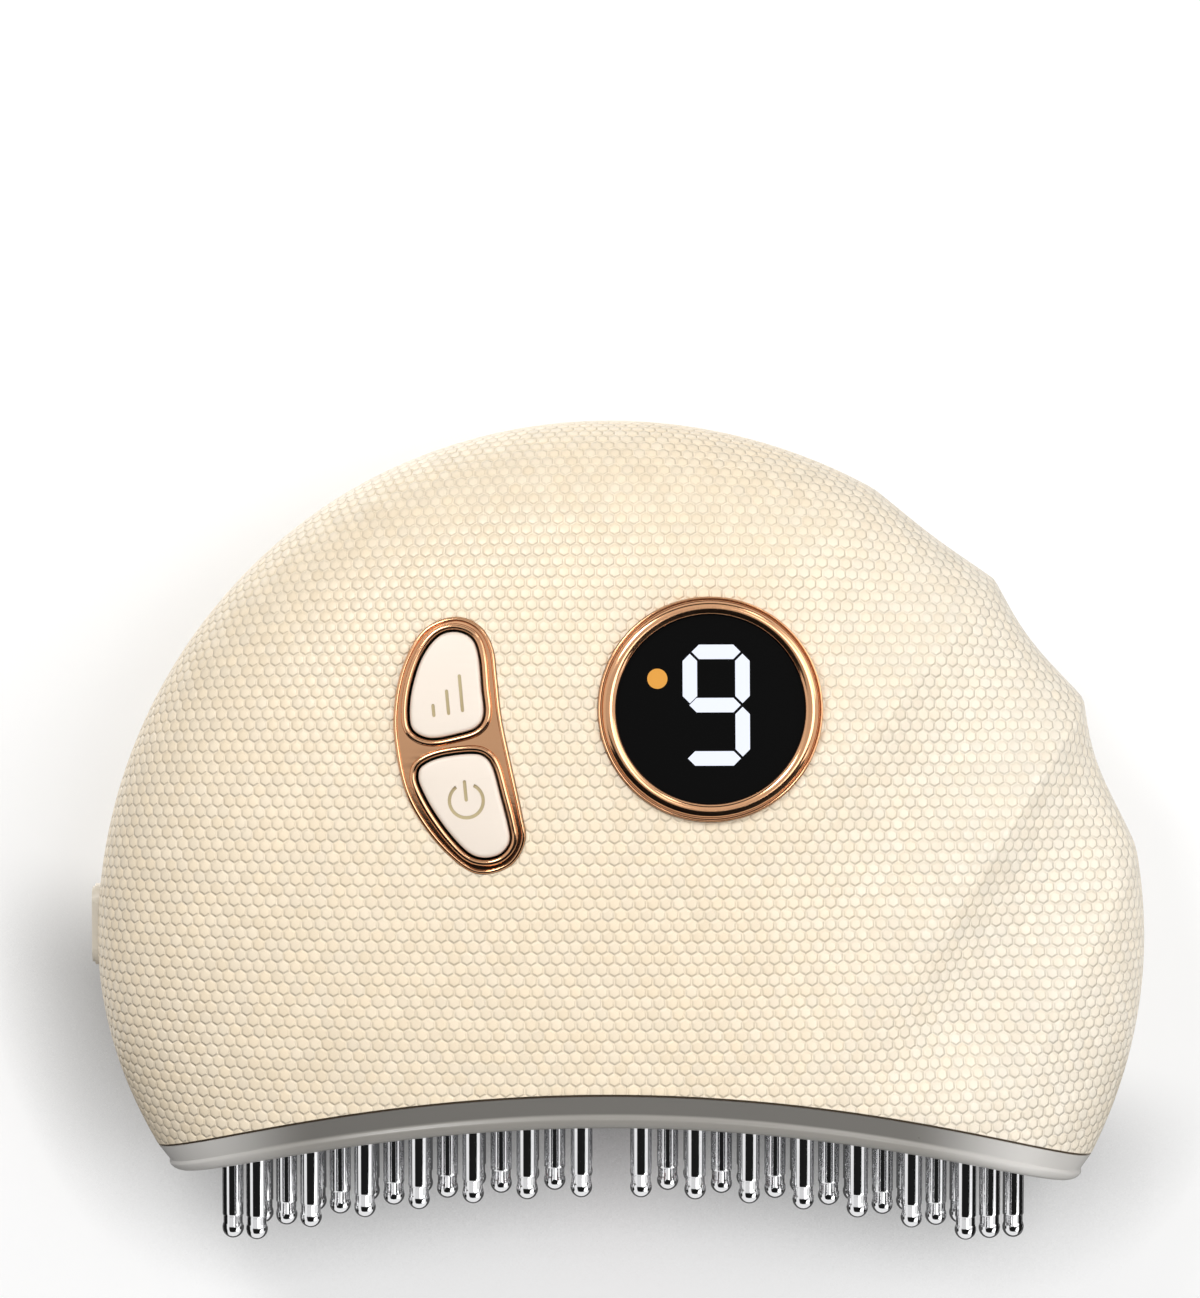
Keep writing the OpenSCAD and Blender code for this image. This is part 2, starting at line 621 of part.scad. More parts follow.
// Body below a large drum that follows the face up and down
module crown_body(top) translate([-far / 2, 0, top - crown]) rotate([0, 90, 0])
  cylinder(r = crown, h = far, $fn = 512);
module crowned(top) intersection() {
  children();
  crown_body(top);
}
module pressed_shape(line, low, high, grow) translate([0, 0, low])
  linear_extrude(high - low) offset(r = grow, $fn = 24) polygon(line);
flat_height = 0.35;
edge_height = 0.75;
edge_width = 0.65;
module button_frame() color("Peru") on_buttons() difference() {
  union() {
    crowned(flat_height) pressed_shape(frame_line, frame_floor, 2, 0);
    for (line = [level_line, power_line]) crowned(edge_height)
      pressed_shape(line, frame_floor + 0.3, 2, button_gap + edge_width);
  }
  for (line = [level_line, power_line])
    pressed_shape(line, frame_floor - 1, 3, button_gap);
}
module button(line, at) {
  crowned(button_rise) pressed_shape(line, pad_back - 0.1, 1, 0);
  pressed_shape(line, skirt_back, pad_back - skirt_gap, skirt);
  pressed_shape(line, skirt_back, pad_back, 0);
  translate([at[0], at[1], plunger_top])
    cylinder(r = plunger_radius, h = skirt_back - plunger_top + 0.1);
}
bar_lean = 6;
// Each bar's middle across, middle height and length
level_bars = [[-3.1, 4.2, 1.6], [-1.4, 5.2, 3.1], [0.2, 6.3, 4.6]];
power_icon_at = [0.95, -6.65];
power_bar = [0, 2.4];
module level_button() color("AntiqueWhite") on_buttons() difference() {
  button(level_line, level_at);
  for (b = level_bars) translate([b[0], b[1], button_rise - icon_depth - 0.15]) rotate(bar_lean)
      translate([-icon_stroke / 2, -b[2] / 2, 0]) cube([icon_stroke, b[2], 2]);
}
power_radius = 2.05;
module power_button() color("AntiqueWhite") on_buttons() difference() {
  button(power_line, power_at);
  translate([power_icon_at[0], power_icon_at[1], button_rise - icon_depth - 0.15])
    rotate(bar_lean) {
    difference() {
      cylinder(r = power_radius + icon_stroke / 2, h = 2);
      translate([0, 0, -1]) cylinder(r = power_radius - icon_stroke / 2, h = 4);
      translate([0, 0, -1]) linear_extrude(4)
        polygon([[0, 0], [-2.4, 4], [2.4, 4]]);
    }
    translate([-icon_stroke / 2, power_bar[0], 0])
      cube([icon_stroke, power_bar[1] - power_bar[0], 2]);
  }
}
module plunger(at) on_buttons() translate([at[0], at[1], plunger_top - plunger_length])
  cylinder(r = plunger_radius, h = plunger_length);
module level_plunger() color("Black") plunger(level_at);
module power_plunger() color("Black") plunger(power_at);
module switch(at) on_buttons() difference() {
  translate([at[0] - switch_size[0] / 2, at[1] - switch_size[1] / 2, button_board_top])
    cube(switch_size);
  translate([at[0], at[1], plunger_top - plunger_length - travel - end_gap])
    cylinder(r = plunger_radius + plunger_gap, h = far);
}
module level_switch() color("DimGray") switch(level_at);
module power_switch() color("DimGray") switch(power_at);
module button_board() color("DarkGreen") on_buttons() difference() {
  translate([-button_board_half[0], -button_board_half[1], button_board_top - board_thickness])
    cube([2 * button_board_half[0], 2 * button_board_half[1], board_thickness]);
  for (p = button_posts) translate([p[0], p[1], button_board_top - 5])
    cylinder(r = m2_radius + fit, h = 10, $fn = 24);
}
module button_screws() color("Silver") on_buttons() for (p = button_posts)
  translate([p[0], p[1], button_board_top - board_thickness]) rotate([180, 0, 0])
    screw(m2_radius, board_thickness + 3, m2_head, m2_head_height);

// Charge port
trim_face = -body_radius - 0.7;
trim_chamfer = 0.35;
seat_x = -body_radius + 2;
trim_wall = 0.6;
flange_extra = 0.7;
flange_thickness = 0.8;
port_face = -body_radius + 0.5;
port_length = 7.3;
port_skin = 0.3;
module slot_shape(grow) let (r = port_thickness / 2 + grow)
  for (s = [-1, 1]) translate([0, s * (port_width / 2 - port_thickness / 2)]) circle(r = r);
// Rounded slot along x, from x0 to x1, larger than the receptacle by grow
module slot(x0, x1, grow) translate([x0, 0, port_z]) rotate([90, 0, 90])
  linear_extrude(x1 - x0) union() {
    slot_shape(grow);
    square([port_thickness + 2 * grow, port_width - port_thickness], center = true);
  }
module port_trim() color("BurlyWood") difference() {
  union() {
    slot(trim_face + trim_chamfer, seat_x, trim_wall);
    slot(trim_face, seat_x, trim_wall - trim_chamfer);
    slot(seat_x, seat_x + flange_thickness, trim_wall + flange_extra);
  }
  slot(trim_face - 1, seat_x + 3, 0.1);
}
module port_cut() {
  slot(-far, 0, trim_wall + fit);
  slot(seat_x, -body_radius + 9, trim_wall + flange_extra + 0.2);
}
module charge_port() color("Silver") difference() {
  slot(port_face, port_face + port_length, 0);
  slot(port_face - 1, port_face + port_length - port_skin, -port_skin);
}
module port_tongue() color("Black")
  box([port_face + 1, -0.35, port_z - 3.3],
    [port_face + port_length - port_skin, 0.35, port_z + 3.3]);

// Main board and battery
board_y = port_thickness / 2;
main_thickness = 1.2;
main_back = board_y + main_thickness;
board_post_radius = 2.4;
post_edge = 4;
connector = 2;
tape_thickness = 1;
battery_at = [-20, body_height + 9.8];
board_posts = [[-42, battery_at[1] + 2.8],
  [battery_at[0] + battery_size[0] + board_post_radius + 3.6, battery_at[1] + 2.8],
  [battery_at[0] - board_post_radius - 7.6, battery_at[1] + 22.8]];
board_low = board_posts[0] - post_edge * [1, 1];
board_high = [board_posts[1][0] + post_edge, board_posts[2][1] + post_edge];
port_arm = [port_face + 3, -39];
port_arm_half = 6.5;
module main_board() color("DarkGreen") difference() {
  union() {
    box([board_low[0], board_y, board_low[1]], [board_high[0], main_back, board_high[1]]);
    box([port_arm[0], board_y, port_z - port_arm_half],
      [port_arm[1], main_back, port_z + port_arm_half]);
    box([board_low[0] - post_edge, board_y, port_z - port_arm_half],
      [port_arm[1], main_back, board_low[1] + post_edge]);
  }
  for (p = board_posts) translate([p[0], 0, p[1]])
    along_y(0, 8, m2_radius + fit);
}
// Chips, coil and connectors: each [middle across, middle height, width, height, thickness]
display_socket = [11, 26.1, 10, 3, connector];
button_socket = [-15.5, 30.1, 6, 3, connector];
part_blocks = [[-6.5, 22.1, 7, 7, 1], [-21, 17.6, 6, 6, 2.4], [-32, 20.6, 4, 4, 0.9],
  [-48, 0.6, 4, 4, 1], [20, 12.6, 8, 4, 4], [-3, 11.85, 10, 3.5, 4],
  display_socket, button_socket];
module board_parts() color("DarkSlateGray") translate([0, board_y, body_height])
  for (b = part_blocks) translate([b[0] - b[2] / 2, -b[4], b[1] - b[3] / 2])
    cube([b[2], b[4], b[3]]);
module main_board_screws() color("Silver") for (p = board_posts)
  translate([p[0], board_y, p[1]]) rotate([90, 0, 0])
    screw(m2_radius, main_thickness + 4, m2_head, m2_head_height);
module battery_tape() color("White")
  box([battery_at[0] + 4, main_back, battery_at[1] + 3],
    [battery_at[0] + battery_size[0] - 4, main_back + tape_thickness,
      battery_at[1] + battery_size[1] - 3]);
module battery_cell() color("LightSteelBlue")
  box([battery_at[0], main_back + tape_thickness, battery_at[1]],
    [battery_at[0] + battery_size[0], main_back + tape_thickness + battery_size[2],
      battery_at[1] + battery_size[1]]);

// Leads and cables
pin_top = floor_top + tail;
module battery_leads() color("Crimson") for (z = [9.8, 13.8])
  translate([battery_at[0], 0, battery_at[1] + z])
    lead([[0, 8, 0], [-4, 8, 0], [-4, main_back, 0]]);
module motor_leads() color("RoyalBlue") for (s = [0, 1]) let (y = motor[1] - 1.5 + 3 * s,
    x = motor[0] - can_length / 2 - 1, z = motor[2] + 1.4, top = board_low[1] + 6 - 3 * s)
  lead([[x, y, z], [x - 1.4, y, z], [x - 1.4, y, top], [x - 1.4, board_y, top]]);
module electrode_leads() color("DarkOrange") {
  x = axis_x - pin_x(-1, 5);
  low = floor_top + 3;
  up = [x - 3.5, port_z + 4];
  lead([[x, -row_gap, arch(x, pin_top)], [x, -row_gap, low], [up[0], -row_gap, low],
    [up[0], -row_gap, up[1]], [up[0], board_y, up[1]]]);
  w = axis_x + pin_x(-1, 4);
  lead([[w, -row_gap, arch(w, pin_top)], [w, -row_gap, board_low[1] + 2],
    [w, board_y, board_low[1] + 2]]);
}
module led_leads() color("Crimson") for (s = [0, 1])
  let (x = axis_x + 3.2, y = 5 + 2 * s, low = led_board_z + board_thickness,
    w = 4.5 + 2 * s, top = board_low[1] + 2.5)
  lead([[x, y, low], [x, y, low + 2], [w, 4, low + 4], [w, -1, top - 4.5],
    [w, -1, top], [w, board_y, top]]);
cable_thickness = 0.3;
cable_edge = 1;
// Flat cable from a socket forward to the back of a tilted board
module cable(socket) difference() {
  translate([socket[0] - socket[2] / 2 + cable_edge, -half_depth, body_height + socket[1]])
    cube([socket[2] - 2 * cable_edge, half_depth + board_y - connector, cable_thickness]);
  children();
}
module display_cable() color("Tan") cable(display_socket) on_display()
  translate([-far / 2, -far / 2, display_back - board_thickness]) cube(far);
module button_cable() color("Tan") cable(button_socket) on_buttons()
  translate([-far / 2, -far / 2, button_board_top - board_thickness]) cube(far);

// Shells
case_points = [for (p = [[-34, -4.4], [38, -2.9], [-31, 42.6], [29, 41.6]])
  p + [0, body_height]];
front_boss = 3.2;
rear_boss = 4.2;
head_seat = 6;
head_hole = 2.6;
screw_reach = 8;
// Front half of the body's inside, which reaches halfway into the wall
module core() {
  m = len(around);
  k = inner_rings;
  polyhedron(convexity = 4, points = sheet_points(k, wall / 2),
    faces = concat(sheet(0, k, false), [[for (j = [0:m - 1]) 1 + (k - 1) * m + j]]));
}
module at_points(points) for (p = points) translate([p[0], 0, p[1]]) children();
module front_shell() color("Wheat") difference() {
  union() {
    half_shell(far);
    intersection() {
      core();
      union() {
        at_points(case_points) along_y(-far, far, front_boss);
        on_display() display_posts(display_post_radius, display_back, 9);
        on_buttons() {
          pressed_shape(frame_line, pad_back, 9, 1.2);
          for (p = button_posts) translate([p[0], p[1], button_board_top])
            cylinder(r = button_post_radius, h = far, $fn = 32);
        }
      }
    }
  }
  under_arch(shell_z);
  at_points(case_points) along_y(-screw_reach - 1, screw_reach + 2, m25_radius + fit, $fn = 24);
  on_display() {
    translate([0, 0, bezel_floor]) cylinder(r = bezel_radius + fit, h = 8, $fn = 128);
    translate([0, 0, -6]) cylinder(r = bezel_hole, h = 8, $fn = 128);
    display_posts(m2_radius + fit, display_back - 1, display_back + 2.8, $fn = 24);
  }
  on_buttons() {
    pressed_shape(frame_line, frame_floor, 8, fit);
    for (line = [level_line, power_line]) pressed_shape(line, pad_back - 1, 2, button_gap);
    for (p = button_posts) translate([p[0], p[1], button_board_top - 1])
      cylinder(r = m2_radius + fit, h = 4.3, $fn = 24);
  }
  port_cut();
}
module rear_shell() color("Wheat") difference() {
  union() {
    mirror([0, 1, 0]) half_shell(half_depth - rest_cut);
    intersection() {
      mirror([0, 1, 0]) core();
      union() {
        at_points(case_points) along_y(0, far, rear_boss);
        at_points(board_posts) along_y(main_back, far, board_post_radius);
        for (s = [-1, 1]) translate([s * frame_post[0], 0, frame_post_top])
          box([-lug_half, 0.5, 0], [lug_half, far, lug_thickness]);
      }
    }
  }
  under_arch(shell_z);
  at_points(case_points) {
    along_y(-1, head_seat + 2, m25_radius + 0.2, $fn = 24);
    along_y(head_seat, far, head_hole);
  }
  at_points(board_posts) along_y(0, main_back + 4.2, m2_radius + fit, $fn = 24);
  for (s = [-1, 1]) translate([s * frame_post[0], frame_post[1], frame_post_top - 1])
    cylinder(r = m25_radius + 0.15, h = lug_thickness + 2, $fn = 24);
  port_cut();
}
module case_screws() color("Silver") at_points(case_points)
  translate([0, head_seat, 0]) rotate([-90, 0, 0])
    screw(m25_radius, head_seat + screw_reach, m25_head, m25_head_height);
module frame_screws() color("Silver") for (s = [-1, 1])
  translate([s * frame_post[0], frame_post[1], frame_post_top + lug_thickness])
    screw(m25_radius, lug_thickness + 6, m25_head, m25_head_height);

front_shell();
rear_shell();
base_frame();
seal();
left_plate();
right_plate();
left_front_pins();
left_middle_pins();
left_rear_pins();
right_front_pins();
right_middle_pins();
right_rear_pins();
light_window();
leds();
led_board();
display_bezel();
display_lens();
digit_segments();
indicator_dot();
display_module();
display_board();
display_screws();
button_frame();
level_button();
power_button();
level_plunger();
power_plunger();
level_switch();
power_switch();
button_board();
button_screws();
port_trim();
charge_port();
port_tongue();
main_board();
board_parts();
main_board_screws();
battery_cell();
battery_tape();
motor_can();
motor_shaft();
eccentric_weight();
motor_sleeve();
motor_strap();
strap_screws();
led_screws();
frame_screws();
case_screws();
battery_leads();
motor_leads();
electrode_leads();
led_leads();
display_cable();
button_cable();
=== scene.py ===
import json
import math

import bmesh
import bpy
import numpy as np
from mathutils import Matrix, Vector


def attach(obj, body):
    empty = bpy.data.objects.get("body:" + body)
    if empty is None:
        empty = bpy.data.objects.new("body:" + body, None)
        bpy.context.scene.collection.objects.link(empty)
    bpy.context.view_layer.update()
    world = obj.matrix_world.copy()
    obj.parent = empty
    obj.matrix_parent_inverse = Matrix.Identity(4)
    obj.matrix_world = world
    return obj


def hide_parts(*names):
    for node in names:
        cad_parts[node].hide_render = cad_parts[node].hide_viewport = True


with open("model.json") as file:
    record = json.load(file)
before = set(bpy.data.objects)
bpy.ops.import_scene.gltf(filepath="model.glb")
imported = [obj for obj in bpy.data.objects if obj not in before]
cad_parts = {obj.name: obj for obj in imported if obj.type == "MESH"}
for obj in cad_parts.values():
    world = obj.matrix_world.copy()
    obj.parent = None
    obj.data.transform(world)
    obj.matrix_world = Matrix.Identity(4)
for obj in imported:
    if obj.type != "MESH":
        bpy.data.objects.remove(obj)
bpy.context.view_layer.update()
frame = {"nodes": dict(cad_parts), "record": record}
NODES = frame["nodes"]

# Driving dimensions in millimetres: the part's own, apart from the pins' neck, which is
# 0.16 thicker here
MM = 0.001
BODY_RADIUS, CENTRE_RISE, HALF_DEPTH = 65.0, 20.8, 21.6
FACE_POWER, EDGE_POWER = 2.8, 2.5
LEFT_TAPER, RIGHT_TAPER, TAPER_ANGLE = 0.031, 0.009, 25.0
TOP_DRAW, TOP_ANGLE, TOP_SPAN = 0.0165, 70.0, (72.0, 62.0)
WALL, REST_CUT = 2.4, 0.6
SCALLOP_DEPTH = 1.7
ARCH_RADIUS, AXIS_X = 184.0, -1.2
RIM_HEIGHT, RIM_WIDTH, RIM_END, RECESS = 4.0, 4.8, 3.2, 1.6
SEAL_THICKNESS, SEAL_INSET, PLATE_THICKNESS = 0.5, 0.3, 1.0
PIN_LENGTH, BALL_RADIUS, STEM_RADIUS = 12.5, 1.35, 1.325
NECK_RADIUS, NECK_LENGTH, COLLAR_RADIUS, COLLAR_HEIGHT = 1.21, 0.45, 1.55, 1.0
PIN_PITCH, FIRST_PIN, ROW_GAP, PINS_IN_ROW = 6.7, 3.7, 5.85, 7
BEZEL_RADIUS, LENS_RADIUS = 13.6, 11.4
DISPLAY_ACROSS, DISPLAY_RISE = 10.8, 30.2
BUTTONS_ACROSS, BUTTONS_RISE = 19.5, 25.8
BUTTON_GAP, BUTTON_RISE = 0.3, 0.7
PORT_RISE, PORT_WIDTH, PORT_THICKNESS = 1.6, 8.94, 3.16

# Heights, with the lowest ball tip at zero
reach = FIRST_PIN + PINS_IN_ROW * PIN_PITCH
PLATE_Z = ARCH_RADIUS - math.sqrt(ARCH_RADIUS**2 - reach**2) + PIN_LENGTH
RIM_Z = PLATE_Z - RECESS
BODY_Z = RIM_Z + CENTRE_RISE
SEAL_Z = RIM_Z + RIM_HEIGHT
SHELL_Z = SEAL_Z + SEAL_THICKNESS
DISPLAY_AT = (DISPLAY_ACROSS, BODY_Z + DISPLAY_RISE)
BUTTONS_AT = (-BUTTONS_ACROSS, BODY_Z + BUTTONS_RISE)

# The ridges lie on rays from one point beyond the upper right, at these angles
CUSP_ANGLES = (10.7, 27.9, 44.1, 60.5)
FIRST_ANGLE = -20.0
FAN = (130.5, BODY_Z + 151.3)
RIDGE_ANGLES = (43.9, 51.7, 58.9, 64.5, 74.0)
SCALLOP_SHARE = (0.55, 0.9, 1.05, 0.4)
SCALLOP_RISE = ((0.45, 0.95), (0.15, 0.65), (0.25, 0.7), (0.3, 0.9))
EDGE_FADE, SEAM_FADE, FACE_EXTRA, CREST_SHIFT = 0.85, 14.0, 4.0, 0.65
MOUTH_REACH = 64.0


# The body's form
def smooth(t):
    """Smooth step from 0 to 1."""
    u = np.clip(t, 0, 1)
    return u * u * (3 - 2 * u)


def outline_radius(a):
    """Radius of the body's outline at angle a, seen from the front."""
    taper = np.where(np.cos(a) < 0, LEFT_TAPER, RIGHT_TAPER)
    full = math.sin(math.radians(2 * TAPER_ANGLE))
    low = np.where(np.sin(a) > 0, 0, taper * (np.sin(2 * a) / full) ** 2)
    d = np.degrees(np.arctan2(np.sin(a), np.cos(a))) - TOP_ANGLE
    u = d / np.where(d < 0, TOP_SPAN[0], TOP_SPAN[1])
    high = TOP_DRAW * np.where(np.abs(u) > 1, 0, np.cos(np.pi / 2 * u) ** 2)
    return BODY_RADIUS * (1 - high - low)


def arch(x, z):
    """Height at x of the arch that passes through height z on the axis."""
    return z - ARCH_RADIUS + np.sqrt(ARCH_RADIUS**2 - (np.asarray(x) - AXIS_X) ** 2)


def scallop(x, z, share):
    """Depth of the scallops at points that lie at these shares of the radius."""
    f = np.degrees(np.arctan2(FAN[1] - z, FAN[0] - x)) + CREST_SHIFT * (1 - share**4)
    found = np.zeros_like(f)
    for k, part in enumerate(SCALLOP_SHARE):
        low, high = RIDGE_ANGLES[k], RIDGE_ANGLES[k + 1]
        inside = (f >= low) & (f < high)
        start, full = SCALLOP_RISE[k]
        part = part * smooth((share - start) / (full - start))
        found = np.where(inside, part * np.sin(np.pi * (f - low) / (high - low)), found)
    fade = np.where(f > RIDGE_ANGLES[3], 1 - smooth((share - EDGE_FADE) / (1 - EDGE_FADE)), 1)
    seam = smooth((z - arch(np.clip(x, -MOUTH_REACH, MOUTH_REACH), SHELL_Z)) / SEAM_FADE)
    face = 1 + FACE_EXTRA * share * (1 - share)
    return SCALLOP_DEPTH * found * fade * seam * face


def depth(x, z):
    """Half thickness of the plain body."""
    h = z - BODY_Z
    s = np.hypot(x, h) / outline_radius(np.arctan2(h, x))
    return HALF_DEPTH * np.clip(1 - s**FACE_POWER, 0, 1) ** (1 / EDGE_POWER)


def across(r, edge, y):
    """Outward normal as its parts along the radius and along the depth."""
    n, m = FACE_POWER, EDGE_POWER
    v = np.stack([n * r ** (n - 1) / edge**n, m * y ** (m - 1) / HALF_DEPTH**m])
    return v / np.linalg.norm(v, axis=0)


def skin(a, t, inward):
    """Points of the front sheet at angles a and stations t, 0 in the middle and 90 at the edge."""
    edge = outline_radius(a)
    t = np.radians(t)
    share = np.sin(t) ** (2 / FACE_POWER)
    r = edge * share
    y = HALF_DEPTH * np.clip(np.cos(t), 0, 1) ** (2 / EDGE_POWER)
    v = across(np.maximum(r, 0.01), edge, y)
    x, z = r * np.cos(a), r * np.sin(a) + BODY_Z
    d = inward + scallop(x, z, share)
    q = r - v[0] * d
    y = np.where(t > math.pi / 2 - 1e-6, 0, y - v[1] * d)
    return np.stack([q * np.cos(a), -y, q * np.sin(a) + BODY_Z], axis=-1)


def face_frame(at):
    """Matrix on the front face: x across, y up the face, z out of it."""
    x, z = at
    h = z - BODY_Z
    r, a = math.hypot(x, h), math.atan2(h, x)
    v = across(r, float(outline_radius(a)), float(depth(x, z)))
    out = Vector((v[0] * math.cos(a), -v[1], v[0] * math.sin(a)))
    side = Vector((-out.y, out.x, 0)).normalized()
    m = Matrix((side, out.cross(side), out)).transposed().to_4x4()
    m.translation = Vector((x, -float(depth(x, z)), z)) * MM
    return m


def mouth_end(side, z):
    """Where the arch through height z leaves the body on one side."""
    low, high = 0.0, BODY_RADIUS
    for _ in range(24):
        middle = (low + high) / 2
        if depth(side * middle, arch(side * middle, z)) > 0:
            low = middle
        else:
            high = middle
    return side * low


def mouth(z, inset, stations=256):
    """Plan of the body where it meets the arch through height z, moved in by inset (x, y)."""
    right, left = mouth_end(1, z), mouth_end(-1, z)
    a = 2 * np.pi * np.arange(stations) / stations
    x = (right + left) / 2 + (right - left) / 2 * np.cos(a)
    y = np.sign(np.round(np.sin(a), 9)) * depth(x, arch(x, z))
    p = np.stack([x, y], axis=-1)
    t = np.roll(p, -1, axis=0) - np.roll(p, 1, axis=0)
    t /= np.linalg.norm(t, axis=1)[:, None]
    return p - np.broadcast_to(inset, 2) * np.stack([t[:, 1], -t[:, 0]], axis=-1)


# Mesh building: edges sharper than these angles show as edges
PIECE_SHARP, NODE_SHARP = math.radians(38), math.radians(30)


def plain_object(name, points, faces, matrix=None):
    """An object from points in millimetres, with its faces turned outward."""
    mesh = bpy.data.meshes.new(name)
    mesh.from_pydata((np.asarray(points) * MM).tolist(), [], faces)
    made = bpy.data.objects.new(name, mesh)
    bpy.context.scene.collection.objects.link(made)
    bm = bmesh.new()
    bm.from_mesh(mesh)
    bmesh.ops.recalc_face_normals(bm, faces=bm.faces)
    bm.to_mesh(mesh)
    bm.free()
    if matrix is not None:
        mesh.transform(matrix)
    bpy.context.view_layer.update()
    return made


def dress(piece, material, body="housing", shade=True):
    """Gives a piece its material, its shading and the body that it rides on."""
    piece.data.materials.clear()
    piece.data.materials.append(material)
    piece.data.polygons.foreach_set("use_smooth", [shade] * len(piece.data.polygons))
    if shade:
        piece.data.set_sharp_from_angle(angle=PIECE_SHARP)
    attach(piece, body)
    return piece


def add_mesh(name, points, faces, material, body="housing", shade=True):
    return dress(plain_object(name, points, faces), material, body, shade)


SLOTS = {row["node"]: row["material_slot"] for row in frame["record"]["subparts"]}


def stands_for(piece, node):
    """Shows a piece in place of a CAD node, which it hides."""
    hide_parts(node)
    return piece


def grid_faces(rows, columns, start=0, closed_rows=False):
    """Quads between rows of points; every row closes on itself."""
    faces = []
    for k in range(rows if closed_rows else rows - 1):
        for j in range(columns):
            n = (j + 1) % columns
            a, b = start + k * columns, start + (k + 1) % rows * columns
            faces.append((a + j, a + n, b + n, b + j))
    return faces


def lathe(profile, steps):
    """Points and faces of a closed or pole-ended profile of (radius, height) round z."""
    points, faces = [], []
    rings = []
    for r, h in profile:
        if r < 1e-6:
            rings.append([len(points)])
            points.append((0, 0, h))
            continue
        rings.append(list(range(len(points), len(points) + steps)))
        for j in range(steps):
            a = 2 * math.pi * j / steps
            points.append((r * math.cos(a), r * math.sin(a), h))
    for low, high in zip(rings, rings[1:]):
        for j in range(steps):
            n = (j + 1) % steps
            if len(low) == 1:
                faces.append((low[0], high[n], high[j]))
            elif len(high) == 1:
                faces.append((low[j], low[n], high[0]))
            else:
                faces.append((low[j], low[n], high[n], high[j]))
    return points, faces


def cut(piece, tool):
    """Takes the tool's solid out of a piece, and removes the tool."""
    change = piece.modifiers.new("cut", "BOOLEAN")
    change.operation = "DIFFERENCE"
    change.solver = "EXACT"
    change.object = tool
    graph = bpy.context.evaluated_depsgraph_get()
    made = bpy.data.meshes.new_from_object(piece.evaluated_get(graph), depsgraph=graph)
    piece.modifiers.clear()
    old = piece.data
    piece.data = made
    bpy.data.meshes.remove(old)
    bpy.data.objects.remove(tool)


def cylinder_tool(r, low, high, steps, matrix):
    """Closed cylinder round z, moved by the matrix."""
    points, faces = lathe([(0, low), (r, low), (r, high), (0, high)], steps)
    return plain_object("tool", points, faces, matrix)


def prism_tool(line, low, high, matrix):
    """Closed prism over an outline, moved by the matrix."""
    n = len(line)
    points = [(x, y, low) for x, y in line] + [(x, y, high) for x, y in line]
    faces = [tuple(range(n))[::-1], tuple(range(n, 2 * n))]
    faces += [(j, (j + 1) % n, n + (j + 1) % n, n + j) for j in range(n)]
    return plain_object("tool", points, faces, matrix)


# Flat outlines
def closed_curve(points, steps=10):
    """Closed smooth curve through points, by the part's own formula."""
    p = np.array(points, float)
    made = []
    for i in range(len(p)):
        a, b, c, d = (p[(i + k) % len(p)] for k in (-1, 0, 1, 2))
        for s in range(steps):
            u = s / steps
            made.append(
                (2 * b + (c - a) * u + (2 * a - 5 * b + 4 * c - d) * u * u
                 + (3 * b - a - 3 * c + d) * u**3) / 2)
    return np.array(made)


def grow(line, by):
    """A clockwise closed line moved outward."""
    t = np.roll(line, -1, axis=0) - np.roll(line, 1, axis=0)
    t /= np.linalg.norm(t, axis=1)[:, None]
    return line + by * np.stack([-t[:, 1], t[:, 0]], axis=-1)


CROWN = 130.0


def crown_drop(y):
    """How far a drum that follows the face has dropped at height y on the face."""
    return CROWN - np.sqrt(CROWN**2 - np.asarray(y) ** 2)


def round_profile(low_out, high_out, foot, top, steps=8):
    """Closed profile with a rounded top between two offsets."""
    r = (high_out - low_out) / 2
    middle = (high_out + low_out) / 2
    arc = [(middle + r * math.cos(a), top - r + r * math.sin(a))
           for a in (math.pi * k / steps for k in range(steps + 1))]
    return [(high_out, foot)] + arc + [(low_out, foot)]


def flat_fill(loops):
    """Flat mesh between outlines, the first outside, with cuts across it every millimetre."""
    curve = bpy.data.curves.new("plate", "CURVE")
    curve.dimensions = "2D"
    curve.fill_mode = "FRONT"
    for line in loops:
        spline = curve.splines.new("POLY")
        spline.points.add(len(line) - 1)
        spline.use_cyclic_u = True
        for q, (x, y) in zip(spline.points, line):
            q.co = (x, y, 0, 1)
    holder = bpy.data.objects.new("plate", curve)
    bpy.context.scene.collection.objects.link(holder)
    graph = bpy.context.evaluated_depsgraph_get()
    flat = bpy.data.meshes.new_from_object(holder.evaluated_get(graph), depsgraph=graph)
    bpy.data.objects.remove(holder)
    bm = bmesh.new()
    bm.from_mesh(flat)
    bmesh.ops.remove_doubles(bm, verts=bm.verts, dist=1e-5)
    ys = [v.co.y for v in bm.verts]
    for y in range(math.floor(min(ys)) + 1, math.ceil(max(ys))):
        geom = bm.verts[:] + bm.edges[:] + bm.faces[:]
        bmesh.ops.bisect_plane(bm, geom=geom, plane_co=(0, y, 0), plane_no=(0, 1, 0))
    bm.to_mesh(flat)
    bm.free()
    return flat


# Materials
def node_of(tree, kind, **values):
    """A new shader node with these properties."""
    made = tree.nodes.new(kind)
    for key, value in values.items():
        setattr(made, key, value)
    return made


def principled(name, colour, rough, metallic=0.0, **sockets):
    """Material with constants in its sockets."""
    material = bpy.data.materials.new(name)
    material.use_nodes = True
    shader = material.node_tree.nodes["Principled BSDF"]
    shader.inputs["Base Color"].default_value = (*colour, 1)
    shader.inputs["Roughness"].default_value = rough
    shader.inputs["Metallic"].default_value = metallic
    for key, value in sockets.items():
        shader.inputs[key.replace("_", " ")].default_value = value
    return material


SPECKLE_DETAIL, SPECKLE_STRENGTH = 3, 0.4


